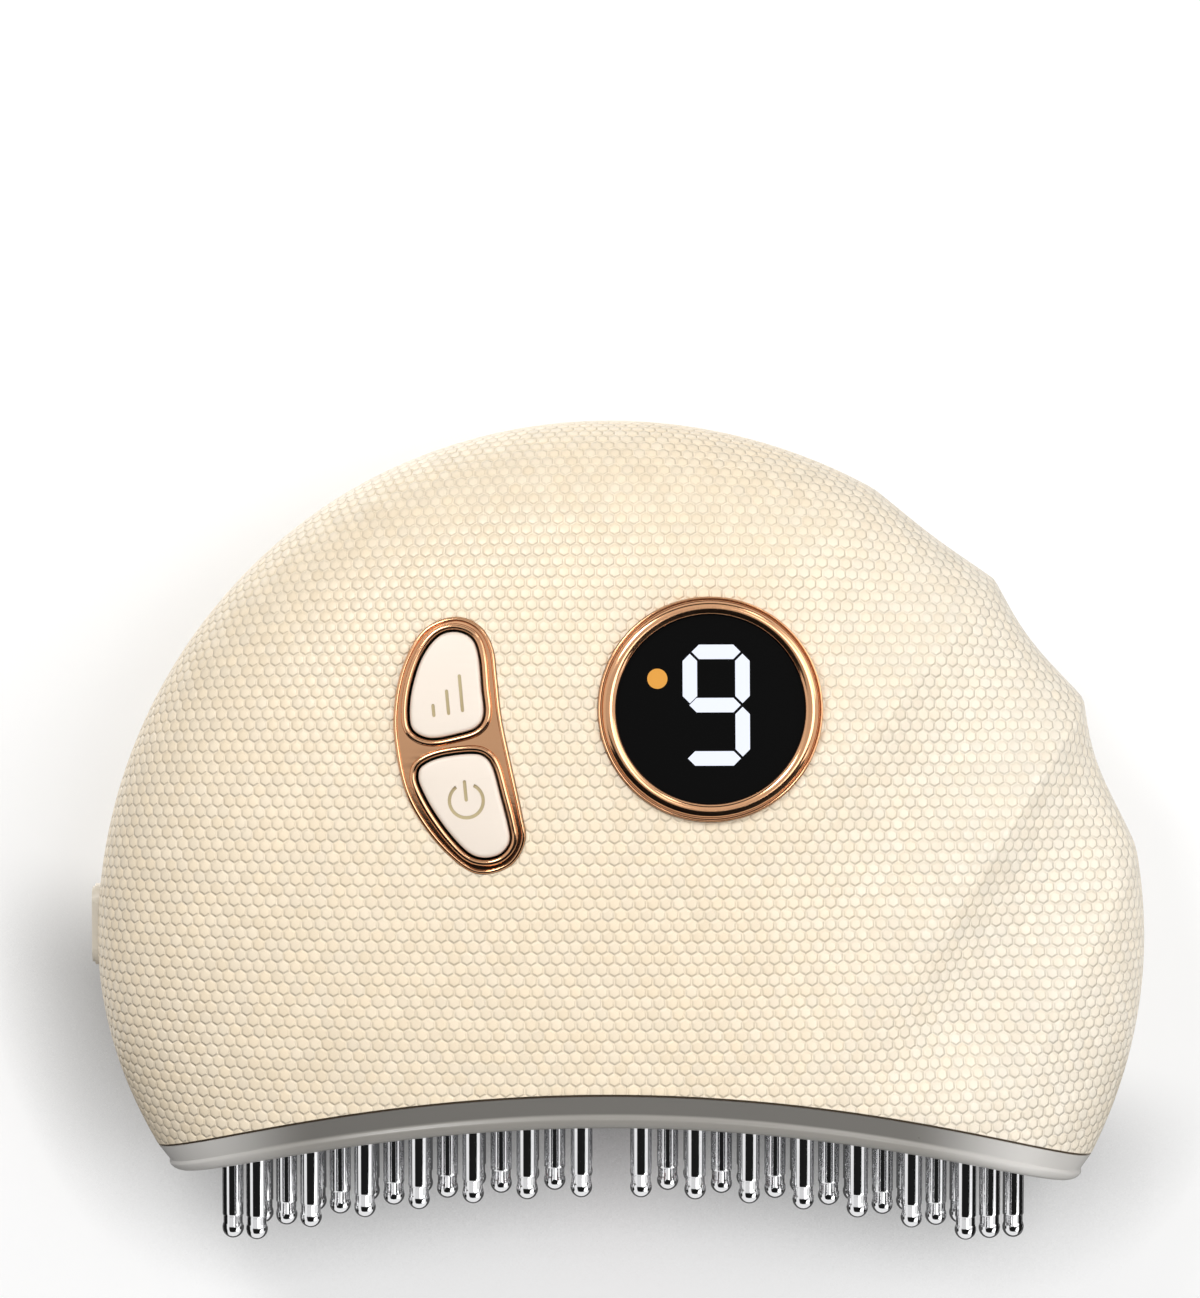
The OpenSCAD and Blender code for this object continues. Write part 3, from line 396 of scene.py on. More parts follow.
def speckle(material, scale, height, spread, rough):
    """Fine relief and a little spread in the roughness, from noise in object space."""
    tree = material.node_tree
    shader = tree.nodes["Principled BSDF"]
    place = node_of(tree, "ShaderNodeTexCoord")
    noise = node_of(tree, "ShaderNodeTexNoise")
    noise.inputs["Scale"].default_value = scale
    noise.inputs["Detail"].default_value = SPECKLE_DETAIL
    tree.links.new(place.outputs["Object"], noise.inputs["Vector"])
    if spread:
        range_of = node_of(tree, "ShaderNodeMapRange")
        range_of.inputs["To Min"].default_value = rough - spread
        range_of.inputs["To Max"].default_value = rough + spread
        tree.links.new(noise.outputs["Fac"], range_of.inputs["Value"])
        tree.links.new(range_of.outputs["Result"], shader.inputs["Roughness"])
    if height:
        bump = node_of(tree, "ShaderNodeBump")
        bump.inputs["Strength"].default_value = SPECKLE_STRENGTH
        bump.inputs["Distance"].default_value = height * MM
        tree.links.new(noise.outputs["Fac"], bump.inputs["Height"])
        tree.links.new(bump.outputs["Normal"], shader.inputs["Normal"])
    return material


def feed(tree, socket, value):
    """Puts a constant, or the output of another node, into a socket."""
    if isinstance(value, (int, float, tuple)):
        socket.default_value = value
    elif value is not None:
        tree.links.new(value, socket)


def maths(tree, operation, a, b=None, c=None):
    made = node_of(tree, "ShaderNodeMath", operation=operation)
    for socket, value in zip(made.inputs, (a, b, c)):
        feed(tree, socket, value)
    return made.outputs[0]


def vectors(tree, operation, a, b=None, c=None):
    made = node_of(tree, "ShaderNodeVectorMath", operation=operation)
    for socket, value in zip(made.inputs, (a, b, c)):
        feed(tree, socket, value)
    return made.outputs["Value"] if operation in ("LENGTH", "DOT_PRODUCT") else made.outputs[0]


def ramp(tree, value, start, end, low=0.0):
    """Smooth step of a value, from low at start to 1 at end."""
    made = node_of(tree, "ShaderNodeMapRange", interpolation_type="SMOOTHSTEP")
    made.inputs["From Min"].default_value = start
    made.inputs["From Max"].default_value = end
    made.inputs["To Min"].default_value = low
    tree.links.new(value, made.inputs["Value"])
    return made.outputs["Result"]


def mixed(tree, share, first, second, **values):
    """Colour that goes from the first to the second."""
    made = node_of(tree, "ShaderNodeMix", data_type="RGBA", **values)
    feed(tree, made.inputs["Factor"], share)
    feed(tree, made.inputs[6], first)
    feed(tree, made.inputs[7], second)
    return made.outputs[2]


def split(tree, value, kind="ShaderNodeSeparateXYZ"):
    """The outputs that hold the parts of a vector or colour."""
    made = node_of(tree, kind)
    tree.links.new(value, made.inputs[0])
    return made.outputs


# Cells of the cream plastic: pitch and relief in millimetres, the rest in shares of the pitch
CELL_MAP = "cells"
CELL_PITCH, CELL_RELIEF = 1.55, 0.20
DOME, LEAN, STEP, CELL_WALL = 1.9, 0.5, 0.2, 0.17
# Painted shade in the grooves: its width, and the tone at the groove
GROOVE_WIDTH, GROOVE_PAINTED_SHADE = 0.08, 0.995
SHADE_SPREAD, SHADE_LOW = 0.08, 0.94
CREAM_COLOUR, CREAM_ROUGH, CREAM_SPECULAR = (0.90, 0.77, 0.58), 0.36, 0.45
# The cream's own warm tone, and a paler tone that is painted sheen
WARM_TONE, SHEEN_PAINTED_TONE = (0.91, 0.765, 0.56, 1), (0.89, 0.81, 0.68, 1)
# Painted sheen: where the paler tone begins and is full, in cells to the right of the middle
SHEEN_PAINTED_START, SHEEN_PAINTED_END, SHEEN_PAINTED_SHARE, TONE_SPREAD = 4, 36, 0.7, 0.32


def cell_material():
    """Cream plastic with rows of domed hexagonal cells, one unit of the map for each, painted
    shade in the grooves between them and painted sheen towards the right.
    """
    material = principled("cream_cells", CREAM_COLOUR, CREAM_ROUGH,
                          Specular_IOR_Level=CREAM_SPECULAR)
    tree = material.node_tree
    shader = tree.nodes["Principled BSDF"]
    place = node_of(tree, "ShaderNodeUVMap", uv_map=CELL_MAP).outputs["UV"]
    # Offset from the nearest cell middle, of two lattices that interlock
    row = math.sqrt(3) / 2
    shift, half = (0.5, row, 0.0), (0.5, row, 0.5)
    back = tuple(-v for v in half)
    first = vectors(tree, "WRAP", place, half, back)
    moved = vectors(tree, "ADD", place, shift)
    second = vectors(tree, "WRAP", moved, half, back)
    nearer = maths(tree, "LESS_THAN", vectors(tree, "LENGTH", second),
                   vectors(tree, "LENGTH", first))
    choice = node_of(tree, "ShaderNodeMix", data_type="VECTOR")
    tree.links.new(nearer, choice.inputs["Factor"])
    tree.links.new(first, choice.inputs[4])
    tree.links.new(second, choice.inputs[5])
    local = choice.outputs[1]
    parts = split(tree, vectors(tree, "ABSOLUTE", local))
    x, y = parts["X"], parts["Y"]
    slanted = maths(tree, "MULTIPLY_ADD", y, row, maths(tree, "MULTIPLY", x, 0.5))
    inside = maths(tree, "SUBTRACT", 0.5, maths(tree, "MAXIMUM", x, slanted))
    from_middle = vectors(tree, "LENGTH", local)
    dome = maths(tree, "SUBTRACT", 1.0, maths(
        tree, "MULTIPLY", from_middle, maths(tree, "MULTIPLY", from_middle, DOME)))
    # One random number for each cell
    steps = vectors(tree, "DIVIDE", vectors(tree, "SUBTRACT", place, local), (0.5, row, 1.0))
    cell = vectors(tree, "FLOOR", vectors(tree, "ADD", steps, (0.5, 0.5, 0.5)))
    noise = node_of(tree, "ShaderNodeTexWhiteNoise", noise_dimensions="2D")
    tree.links.new(cell, noise.inputs["Vector"])
    # Relief
    lean = vectors(tree, "DOT_PRODUCT", local, (LEAN, -LEAN, 0))
    height = maths(tree, "MULTIPLY_ADD", ramp(tree, inside, 0, CELL_WALL),
                   maths(tree, "ADD", dome, lean),
                   maths(tree, "MULTIPLY", noise.outputs["Value"], STEP))
    bump = node_of(tree, "ShaderNodeBump")
    bump.inputs["Strength"].default_value = 1.0
    bump.inputs["Distance"].default_value = CELL_RELIEF * MM
    tree.links.new(height, bump.inputs["Height"])
    tree.links.new(bump.outputs["Normal"], shader.inputs["Normal"])
    # Colour: painted shade in the grooves between cells, times a random tone for each cell, tinted
    # with painted sheen
    shade = maths(tree, "MULTIPLY", ramp(tree, inside, 0, GROOVE_WIDTH, GROOVE_PAINTED_SHADE), maths(
        tree, "MULTIPLY_ADD", noise.outputs["Value"], SHADE_SPREAD, SHADE_LOW))
    # Painted sheen: the tone grows paler towards the right of the face, where light glances off it
    painted_sheen = ramp(tree, split(tree, place)["X"], SHEEN_PAINTED_START, SHEEN_PAINTED_END)
    each = split(tree, noise.outputs["Color"], "ShaderNodeSeparateColor")
    tint = mixed(tree, maths(tree, "MULTIPLY_ADD", painted_sheen, SHEEN_PAINTED_SHARE, maths(
        tree, "MULTIPLY", each["Green"], TONE_SPREAD)), WARM_TONE, SHEEN_PAINTED_TONE)
    tree.links.new(mixed(tree, 1, tint, shade, blend_type="MULTIPLY"),
                   shader.inputs["Base Color"])
    return material


# Tones of the rim: painted shade on its upper band and painted light at its paler ends, with their
# limits in the map
BAND_MAP = "levels"
RIM_PAINTED_SHADE, BAND_LIGHT, RIM_PAINTED_LIGHT = (0.17, 0.162, 0.148), (0.29, 0.275, 0.25), (0.64, 0.62, 0.59)
PAINTED_SHADE_START, PAINTED_SHADE_FULL, PAINTED_LIGHT_START, PAINTED_LIGHT_FULL = 0.40, 0.50, 0.55, 0.82


def painted_light_rim_material():
    """Grey plastic with painted shade on its upper band, both fading to painted light, a paler
    tone, at the ends.
    """
    material = speckle(principled("rim_plastic_painted_light", BAND_LIGHT, 0.3), 700, 0.004, 0.05, 0.3)
    tree = material.node_tree
    parts = split(tree, node_of(tree, "ShaderNodeUVMap", uv_map=BAND_MAP).outputs["UV"])
    # Painted shade: the upper band is darker, where the shell above would shade it
    band = mixed(tree, ramp(tree, parts["Y"], PAINTED_SHADE_START, PAINTED_SHADE_FULL),
                 (*BAND_LIGHT, 1), (*RIM_PAINTED_SHADE, 1))
    # Painted light: the rim grows paler towards its ends, where light reaches it from the sides
    ends = ramp(tree, maths(tree, "ABSOLUTE", parts["X"]), PAINTED_LIGHT_START, PAINTED_LIGHT_FULL)
    tree.links.new(mixed(tree, ends, band, (*RIM_PAINTED_LIGHT, 1)),
                   tree.nodes["Principled BSDF"].inputs["Base Color"])
    return material


def glow(name, colour, strength, base, rough=0.3):
    """Material that also gives light of a colour."""
    made = principled(name, base, rough)
    shader = made.node_tree.nodes["Principled BSDF"]
    shader.inputs["Emission Color"].default_value = (*colour, 1)
    shader.inputs["Emission Strength"].default_value = strength
    return made


CREAM = cell_material()
PLAIN_CREAM = speckle(principled("plain_cream", CREAM_COLOUR, 0.5), 900, 0.01, 0.06, 0.5)
GREY = speckle(principled("grey_plastic", (0.33, 0.32, 0.315), 0.3), 700, 0.004, 0.05, 0.3)
# Rim plastic with painted shade on its upper band and painted light at its ends
RIM = painted_light_rim_material()
SEAL = speckle(principled("seal_brown", (0.07, 0.045, 0.022), 0.6), 1200, 0.01, 0.08, 0.6)
CHROME = speckle(principled("chrome", (0.78, 0.78, 0.79), 0.06, 1.0), 500, 0, 0.025, 0.06)
GOLD = speckle(principled("rose_gold", (0.64, 0.35, 0.19), 0.13, 1.0), 600, 0, 0.03, 0.13)
LENS = principled("black_lens", (0.002, 0.002, 0.002), 0.1, Specular_IOR_Level=0.05)
DIGIT = glow("digit_light", (0.79, 0.83, 0.96), 0.95, (0.1, 0.1, 0.1))
DOT = glow("dot_light", (0.80, 0.34, 0.022), 0.95, (0.02, 0.01, 0.0))
BUTTON = speckle(principled("button_plastic", (0.84, 0.74, 0.64), 0.4), 900, 0.008, 0.05, 0.4)
ICON = speckle(principled("icon_tan", (0.50, 0.41, 0.23), 0.5), 900, 0.004, 0.05, 0.5)
RED = glow("red_strip", (1.0, 0.05, 0.05), 0.5, (0.7, 0.04, 0.04), 0.35)
LED = glow("led_light", (1.0, 0.55, 0.25), 6.0, (0.9, 0.4, 0.2))
TRIM = speckle(principled("trim_plastic", (0.72, 0.66, 0.56), 0.4), 900, 0.006, 0.05, 0.4)
STEEL = speckle(principled("plated_steel", (0.55, 0.55, 0.56), 0.3, 1.0), 900, 0.004, 0.06, 0.3)
BOARD = speckle(principled("solder_mask", (0.02, 0.10, 0.05), 0.4), 800, 0.004, 0.06, 0.4)
BLACK = speckle(principled("black_plastic", (0.02, 0.02, 0.02), 0.5), 900, 0.006, 0.06, 0.5)
DARK = speckle(principled("dark_plastic", (0.09, 0.09, 0.095), 0.5), 900, 0.006, 0.06, 0.5)
FOIL = speckle(principled("pouch_foil", (0.55, 0.57, 0.60), 0.35, 0.8), 300, 0.02, 0.08, 0.35)
TAPE = speckle(principled("foam_tape", (0.75, 0.75, 0.72), 0.9), 900, 0.02, 0.05, 0.9)
BRASS = speckle(principled("weight_metal", (0.42, 0.34, 0.16), 0.4, 1.0), 900, 0.006, 0.06, 0.4)
FLEX = speckle(principled("flex_cable", (0.42, 0.26, 0.07), 0.4), 900, 0.004, 0.05, 0.4)
RED_LEAD = speckle(principled("red_lead", (0.45, 0.02, 0.02), 0.5), 900, 0.004, 0.05, 0.5)
BLUE_LEAD = speckle(principled("blue_lead", (0.03, 0.07, 0.40), 0.5), 900, 0.004, 0.05, 0.5)
ORANGE_LEAD = speckle(principled("orange_lead", (0.70, 0.22, 0.02), 0.5), 900, 0.004, 0.05, 0.5)

LOOKS = {
    "electrode_chrome": CHROME, "window_red": RED, "led_red": LED, "board_green": BOARD,
    "rose_gold": GOLD, "lens_black": LENS, "digit_white": DIGIT, "dot_orange": DOT,
    "plastic_black": BLACK, "plastic_grey": DARK, "trim_tan": TRIM, "steel": STEEL,
    "pouch_silver": FOIL, "tape_white": TAPE, "weight_brass": BRASS, "sleeve_black": BLACK,
    "lead_red": RED_LEAD, "lead_blue": BLUE_LEAD, "lead_orange": ORANGE_LEAD,
    "flex_tan": FLEX, "shell_cream": PLAIN_CREAM, "rim_grey": GREY, "seal_brown": SEAL,
    "button_cream": BUTTON,
}
for name, slot in SLOTS.items():
    NODES[name].data.materials.clear()
    NODES[name].data.materials.append(LOOKS[slot])


def own_map(piece, name, spots):
    """Map with one place for each point of the mesh."""
    layer = piece.data.uv_layers.new(name=name)
    corners = np.zeros(len(piece.data.loops), np.int32)
    piece.data.loops.foreach_get("vertex_index", corners)
    layer.data.foreach_set("uv", np.array(spots)[corners].ravel().astype(np.float32))


# Shells
SPAN_STEPS, PLAIN_STEPS, OUTER_RINGS, INNER_RINGS = 26, 300, 104, 14
BEZEL_FLOOR, FRAME_FLOOR, PAD_BACK = -1.3, -1.3, -3.7
FRAME_LINE = closed_curve(
    [(-0.8, 15.5), (2.2, 14.5), (3.9, 11.9), (4.5, 8), (5.1, 3.2), (6.4, -2.8), (7.6, -8.2),
     (8, -11.4), (6.4, -14.3), (3.2, -15.5), (0.4, -14.6), (-3.4, -10.9), (-6.4, -5.9),
     (-7.8, 0.2), (-7.9, 5), (-6.8, 10), (-4.4, 14)])
LEVEL_LINE = closed_curve(
    [(-0.7, 13.7), (1.3, 12.9), (2.2, 10.7), (2.6, 6.9), (2.9, 3.9), (2.1, 2.3), (0, 1.5),
     (-3.4, 0.9), (-5.5, 1.8), (-6, 3.8), (-5.7, 7), (-4.6, 10.5), (-2.8, 13)])
POWER_LINE = closed_curve(
    [(-4.4, -2.5), (-2.2, -1.5), (1.4, -1), (3.1, -1.4), (4.1, -2.8), (5, -6), (5.9, -9.5),
     (6.1, -11.5), (5, -13), (3.1, -13.5), (1.2, -12.9), (-1, -10.7), (-3.1, -7.8),
     (-4.5, -5.2), (-4.9, -3.7)])
DISPLAY_FRAME, BUTTON_FRAME = face_frame(DISPLAY_AT), face_frame(BUTTONS_AT)


def station_angles():
    """Angles round the outline, with one at every cusp."""
    corners = (FIRST_ANGLE,) + CUSP_ANGLES + (360 + FIRST_ANGLE,)
    made = []
    for k, (low, high) in enumerate(zip(corners, corners[1:])):
        steps = PLAIN_STEPS if k == len(corners) - 2 else SPAN_STEPS
        made += [low + (high - low) * i / steps for i in range(steps)]
    return np.radians(made)


def shell(name, side, limit):
    """Closed half shell, cut flat at limit; side is -1 for the front and 1 for the rear."""
    angles = station_angles()
    n = len(angles)
    points, faces, arc = [], [], []
    for rings, inward in ((OUTER_RINGS, 0.0), (INNER_RINGS, WALL)):
        start = len(points)
        sheet = [skin(0.0, 0.0, inward)[None]]
        run = [np.zeros(1)]
        last = np.repeat(sheet[0], n, axis=0)
        total = np.zeros(n)
        for k in range(1, rings + 1):
            ring = skin(angles, np.full(n, 90.0 * k / rings), inward)
            total = total + np.linalg.norm(ring - last, axis=1)
            last = ring
            sheet.append(ring)
            run.append(total)
        points += [p for ring in sheet for p in ring]
        arc += [s for ring in run for s in ring]
        outer = inward == 0
        for j in range(n):
            k = (j + 1) % n
            faces.append((start, start + 1 + k, start + 1 + j) if outer
                         else (start, start + 1 + j, start + 1 + k))
        faces += grid_faces(rings, n, start + 1)
        edge = start + 1 + (rings - 1) * n
        if outer:
            outer_edge = edge
    faces += [(outer_edge + j, outer_edge + (j + 1) % n, edge + (j + 1) % n, edge + j)
              for j in range(n)]
    points = np.array(points)
    points[:, 1] = np.maximum(points[:, 1], -limit)
    points[:, 1] *= -side
    made = plain_object(name, points, faces)
    around = np.arctan2(points[:, 2] - BODY_Z, points[:, 0])
    arc = np.array(arc) / CELL_PITCH
    spots = np.stack([arc * np.cos(around), arc * np.sin(around)], axis=-1)
    own_map(made, CELL_MAP, spots)
    return made


# How far the shells reach down over the seal, and the ends and steps of the tools that cut them
SEAM_CLOSE = 0.2
FAR, ARCH_STEPS = 60, 1024
SEAT_GAP, SEAT_DEPTH, SEAT_HEIGHT, SEAT_STEPS = 0.05, 3.5, 8, 160
PORT_GROWN, PORT_NEAR, PORT_FAR = 0.66, -50, -80
CASE_POINTS = ((-34, -4.4), (38, -2.9), (-31, 42.6), (29, 41.6))
HEAD_SEAT, HEAD_HOLE, HEAD_STEPS = 6.0, 2.6, 40


def under_arch_tool():
    """The drum under the arch that the lower edge of the shells follows."""
    turn = Matrix.Rotation(math.radians(90), 4, "X")
    turn.translation = Vector((AXIS_X, 0, SHELL_Z - SEAM_CLOSE - ARCH_RADIUS)) * MM
    return cylinder_tool(ARCH_RADIUS, -FAR, FAR, ARCH_STEPS, turn)


def slot_line(grown, steps=16):
    """Outline of the charge port, upright, grown by a distance."""
    r = PORT_THICKNESS / 2 + grown
    half = (PORT_WIDTH - PORT_THICKNESS) / 2
    arc = [math.pi * k / steps for k in range(steps + 1)]
    return ([(r * math.cos(a), half + r * math.sin(a)) for a in arc]
            + [(-r * math.cos(a), -half - r * math.sin(a)) for a in arc])


def port_tool():
    """The slot for the charge port's trim, through the left edge."""
    turn = Matrix(((0, 0, 1), (1, 0, 0), (0, 1, 0))).to_4x4()
    turn.translation = Vector((0, 0, BODY_Z + PORT_RISE)) * MM
    return prism_tool(slot_line(PORT_GROWN), PORT_FAR, PORT_NEAR, turn)


front = shell("front_shell_skin", -1, HALF_DEPTH)
cut(front, under_arch_tool())
cut(front, cylinder_tool(BEZEL_RADIUS + SEAT_GAP, -SEAT_DEPTH, SEAT_HEIGHT, SEAT_STEPS,
                         DISPLAY_FRAME))
cut(front, prism_tool(grow(FRAME_LINE, SEAT_GAP), -SEAT_DEPTH, SEAT_HEIGHT, BUTTON_FRAME))
cut(front, port_tool())
stands_for(dress(front, CREAM), "front_shell")

rear = shell("rear_shell_skin", 1, HALF_DEPTH - REST_CUT)
cut(rear, under_arch_tool())
cut(rear, port_tool())
for x, rise in CASE_POINTS:
    turn = Matrix.Rotation(math.radians(-90), 4, "X")
    turn.translation = Vector((x, 0, BODY_Z + rise)) * MM
    cut(rear, cylinder_tool(HEAD_HOLE, HEAD_SEAT, FAR, HEAD_STEPS, turn))
stands_for(dress(rear, CREAM), "rear_shell")


# Rim, seal and pins; sections are lists of (height, inset)
def mouth_ring(name, levels, material):
    """Ring that follows the arch; levels are (height at the axis, inset), round its section."""
    points, spots = [], []
    for z, inset in levels:
        plan = mouth(z, inset)
        points += [(x, y, h) for (x, y), h in zip(plan, arch(plan[:, 0], z))]
        spots += [((x - AXIS_X) / BODY_RADIUS, (z - RIM_Z) / RIM_HEIGHT) for x in plan[:, 0]]
    ring = add_mesh(name, points, grid_faces(len(levels), len(plan), 0, True), material)
    own_map(ring, BAND_MAP, spots)
    return ring


# The rim's rounded lower edge, and the groove under its upper band
EDGE_RADIUS, BAND_HEIGHT, BAND_INSET = 1.2, 2.3, 0.28
rounding = [(RIM_Z + EDGE_RADIUS * (1 - math.sin(a)), EDGE_RADIUS * (1 - math.cos(a)))
            for a in np.radians(np.linspace(0, 90, 8))]
BAND_Z = SEAL_Z - BAND_HEIGHT
rim_levels = [(SEAL_Z, 0.02), (BAND_Z + 0.25, BAND_INSET), (BAND_Z, BAND_INSET + 0.02),
              (BAND_Z - 0.2, BAND_INSET - 0.1), (BAND_Z - 0.35, 0.04),
              *rounding, (RIM_Z, (RIM_END - 0.3, RIM_WIDTH - 0.3)),
              (RIM_Z + 0.1, (RIM_END - 0.05, RIM_WIDTH - 0.05)),
              (RIM_Z + 0.3, (RIM_END, RIM_WIDTH)),
              (PLATE_Z + PLATE_THICKNESS, (RIM_END, RIM_WIDTH)),
              (PLATE_Z + PLATE_THICKNESS, (RIM_END + 3, RIM_WIDTH + 3)),
              (SEAL_Z + 2, (RIM_END + 3, RIM_WIDTH + 3)), (SEAL_Z + 2, WALL + 0.5),
              (SEAL_Z, WALL + 0.4)]
stands_for(mouth_ring("rim", rim_levels, RIM), "base_frame")
seal_levels = [(SEAL_Z, SEAL_INSET), (SHELL_Z, SEAL_INSET), (SHELL_Z, WALL - 0.1),
               (SEAL_Z, WALL - 0.1)]
stands_for(mouth_ring("seal_ring", seal_levels, SEAL), "seal")

PIN_STEPS, BALL_STEPS = 28, 14


def pin_profile():
    """Radius and height of a pin from its ball tip up to its foot on the plate."""
    meet = math.asin(NECK_RADIUS / BALL_RADIUS)
    ball = [(BALL_RADIUS * math.sin(a), BALL_RADIUS * (1 - math.cos(a)))
            for a in np.linspace(0, math.pi - meet, BALL_STEPS)]
    stem = 2 * BALL_RADIUS + NECK_LENGTH - 0.3
    collar, foot = PIN_LENGTH - COLLAR_HEIGHT, PIN_LENGTH + 0.25
    return ball + [(NECK_RADIUS, stem - 0.1), (STEM_RADIUS - 0.14, stem),
                   (STEM_RADIUS - 0.04, stem + 0.07), (STEM_RADIUS, stem + 0.2),
                   (STEM_RADIUS, stem + 0.35), (STEM_RADIUS, collar - 0.1),
                   (STEM_RADIUS, collar), (COLLAR_RADIUS - 0.1, collar),
                   (COLLAR_RADIUS, collar + 0.1), (COLLAR_RADIUS, foot), (0, foot)]


def pin_row(side, row, count):
    """All pins of one row as one piece; row is -1 front, 0 middle, 1 rear."""
    points, faces = [], []
    start = FIRST_PIN + (PIN_PITCH / 2 if row == 0 else 0)
    for k in range(count):
        x = AXIS_X + side * (start + k * PIN_PITCH)
        low = float(arch(x, PLATE_Z)) - PIN_LENGTH
        p, f = lathe(pin_profile(), PIN_STEPS)
        base = len(points)
        points += [(x + a, row * ROW_GAP + b, low + c) for a, b, c in p]
        faces += [tuple(base + i for i in face) for face in f]
    return points, faces


for side, side_name in ((-1, "left"), (1, "right")):
    for row, row_name in ((-1, "front"), (0, "middle"), (1, "rear")):
        node = f"{side_name}_{row_name}_pins"
        count = PINS_IN_ROW + (1 if node == "right_rear_pins" else 0)
        stands_for(add_mesh(f"{node}_turned", *pin_row(side, row, count), CHROME), node)


# Display
BEZEL_STEPS, TORUS_STEPS = 192, 33
RING_DEPTH, TORUS_GAP, TORUS_LOW, TORUS_RISE = -0.8, 0.50, 0.12, 0.62


def bezel_profile():
    """Thin outer lip, a groove and one smooth torus up to the lens."""
    r = BEZEL_RADIUS
    lip = [(r, -0.05), (r, 0.10), (r - 0.03, 0.19), (r - 0.10, 0.26), (r - 0.19, 0.28),
           (r - 0.28, 0.24), (r - 0.35, 0.13), (r - 0.38, -0.02), (r - 0.39, RING_DEPTH)]
    half = (r - TORUS_GAP - LENS_RADIUS) / 2
    middle = LENS_RADIUS + half
    torus = [(middle + half * math.cos(a), TORUS_LOW + TORUS_RISE * math.sin(a))
             for a in np.radians(np.linspace(0, 180, TORUS_STEPS))]
    return ([(r, BEZEL_FLOOR)] + lip + [(middle + half, RING_DEPTH)] + torus
            + [(LENS_RADIUS, BEZEL_FLOOR), (r, BEZEL_FLOOR)])


bezel = add_mesh("bezel_ring", *lathe(bezel_profile(), BEZEL_STEPS), GOLD)
bezel.data.transform(DISPLAY_FRAME)
stands_for(bezel, "display_bezel")


# Buttons and their frame
def gold_ring(name, line, profile):
    """Closed ring with a closed profile of (outward, height), bent over the crown."""
    points = []
    for out, height in profile:
        moved = grow(line, out)
        points += [(x, y, height - crown_drop(y)) for x, y in moved]
    ring = add_mesh(name, points, grid_faces(len(profile), len(line), 0, True), GOLD)
    ring.data.transform(BUTTON_FRAME)


def raised(name, loops, low, high, edge, material, body, steps=6):
    """Solid over outlines with a rounded top edge of that radius, bent over the crown."""
    turns = np.radians(np.linspace(0, 90, steps + 1))
    insets = [edge * (1 - math.cos(a)) for a in turns]
    drops = [edge * (1 - math.sin(a)) for a in turns]
    flat = flat_fill([grow(line, -insets[-1] * (1 if i == 0 else -1))
                      for i, line in enumerate(loops)])
    points = [(*v.co[:2], high - float(crown_drop(v.co.y))) for v in flat.vertices]
    faces = [tuple(p.vertices) for p in flat.polygons]
    for i, line in enumerate(loops):
        base = len(points)
        for inset, drop in zip(insets[::-1], drops[::-1]):
            moved = grow(line, -inset * (1 if i == 0 else -1))
            points += [(x, y, high - drop - float(crown_drop(y))) for x, y in moved]
        points += [(x, y, low) for x, y in line]
        faces += grid_faces(len(insets) + 1, len(line), base)
    piece = add_mesh(name, points, faces, material, body)
    bm = bmesh.new()
    bm.from_mesh(piece.data)
    bmesh.ops.remove_doubles(bm, verts=bm.verts, dist=2e-6)
    bmesh.ops.recalc_face_normals(bm, faces=bm.faces)
    bm.to_mesh(piece.data)
    bm.free()
    bpy.data.meshes.remove(flat)
    return piece


PLATE_TOP, PLATE_EDGE = 0.15, 0.12
RING_FOOT, RING_TOP, RING_WIDTH, LIP_TOP, LIP_WIDTH = -1.2, 0.75, 0.75, 0.42, 0.5
plate = raised("button_plate",
               [FRAME_LINE, grow(LEVEL_LINE, BUTTON_GAP), grow(POWER_LINE, BUTTON_GAP)],
               FRAME_FLOOR, PLATE_TOP, PLATE_EDGE, GOLD, "housing")
plate.data.transform(BUTTON_FRAME)
stands_for(plate, "button_frame")
for name, line in (("level_rim", LEVEL_LINE), ("power_rim", POWER_LINE)):
    gold_ring(name, line,
              round_profile(BUTTON_GAP, BUTTON_GAP + RING_WIDTH, RING_FOOT, RING_TOP))
gold_ring("frame_lip", FRAME_LINE, round_profile(-LIP_WIDTH, 0.0, RING_FOOT, LIP_TOP))

CAP_EDGE = 0.55
BAR_LEAN, ICON_STROKE, ICON_DEPTH, ICON_HALF = 6.0, 0.42, 0.25, 0.05
LEVEL_BARS = ((-3.1, 4.2, 1.6), (-1.4, 5.2, 3.1), (0.2, 6.3, 4.6))
POWER_ICON_AT, POWER_ICON_RADIUS, POWER_GAP, POWER_BAR = (0.95, -6.65), 2.05, 31.0, (0.1, 2.3)


def stroke(a, b, width, steps=6):
    """Outline of a straight stroke with round ends."""
    a, b = np.array(a), np.array(b)
    along = math.atan2(*(b - a)[::-1])
    r = width / 2
    made = []
    for end, start in ((b, along - math.pi / 2), (a, along + math.pi / 2)):
        for k in range(steps + 1):
            t = start + math.pi * k / steps
            made.append((end[0] + r * math.cos(t), end[1] + r * math.sin(t)))
    return made[::-1]


def arc_stroke(centre, radius, first, last, width, steps=36):
    """Outline of a stroke along an arc."""
    def side(r, start, end):
        return [(centre[0] + r * math.cos(t), centre[1] + r * math.sin(t))
                for t in np.radians(np.linspace(start, end, steps))]
    return (side(radius + width / 2, first, last) + side(radius - width / 2, last, first))[::-1]


def bar_way():
    lean = math.radians(90 + BAR_LEAN)
    return np.array((math.cos(lean), math.sin(lean)))


def level_strokes():
    for x, y, length in LEVEL_BARS:
        d = bar_way() * (length - ICON_STROKE) / 2
        yield stroke((x - d[0], y - d[1]), (x + d[0], y + d[1]), ICON_STROKE)


def power_strokes():
    c, up = POWER_ICON_AT, bar_way()
    first = 90 + BAR_LEAN + POWER_GAP
    yield arc_stroke(c, POWER_ICON_RADIUS, first, first + 360 - 2 * POWER_GAP, ICON_STROKE)
    yield stroke(c + up * POWER_BAR[0], c + up * POWER_BAR[1], ICON_STROKE)


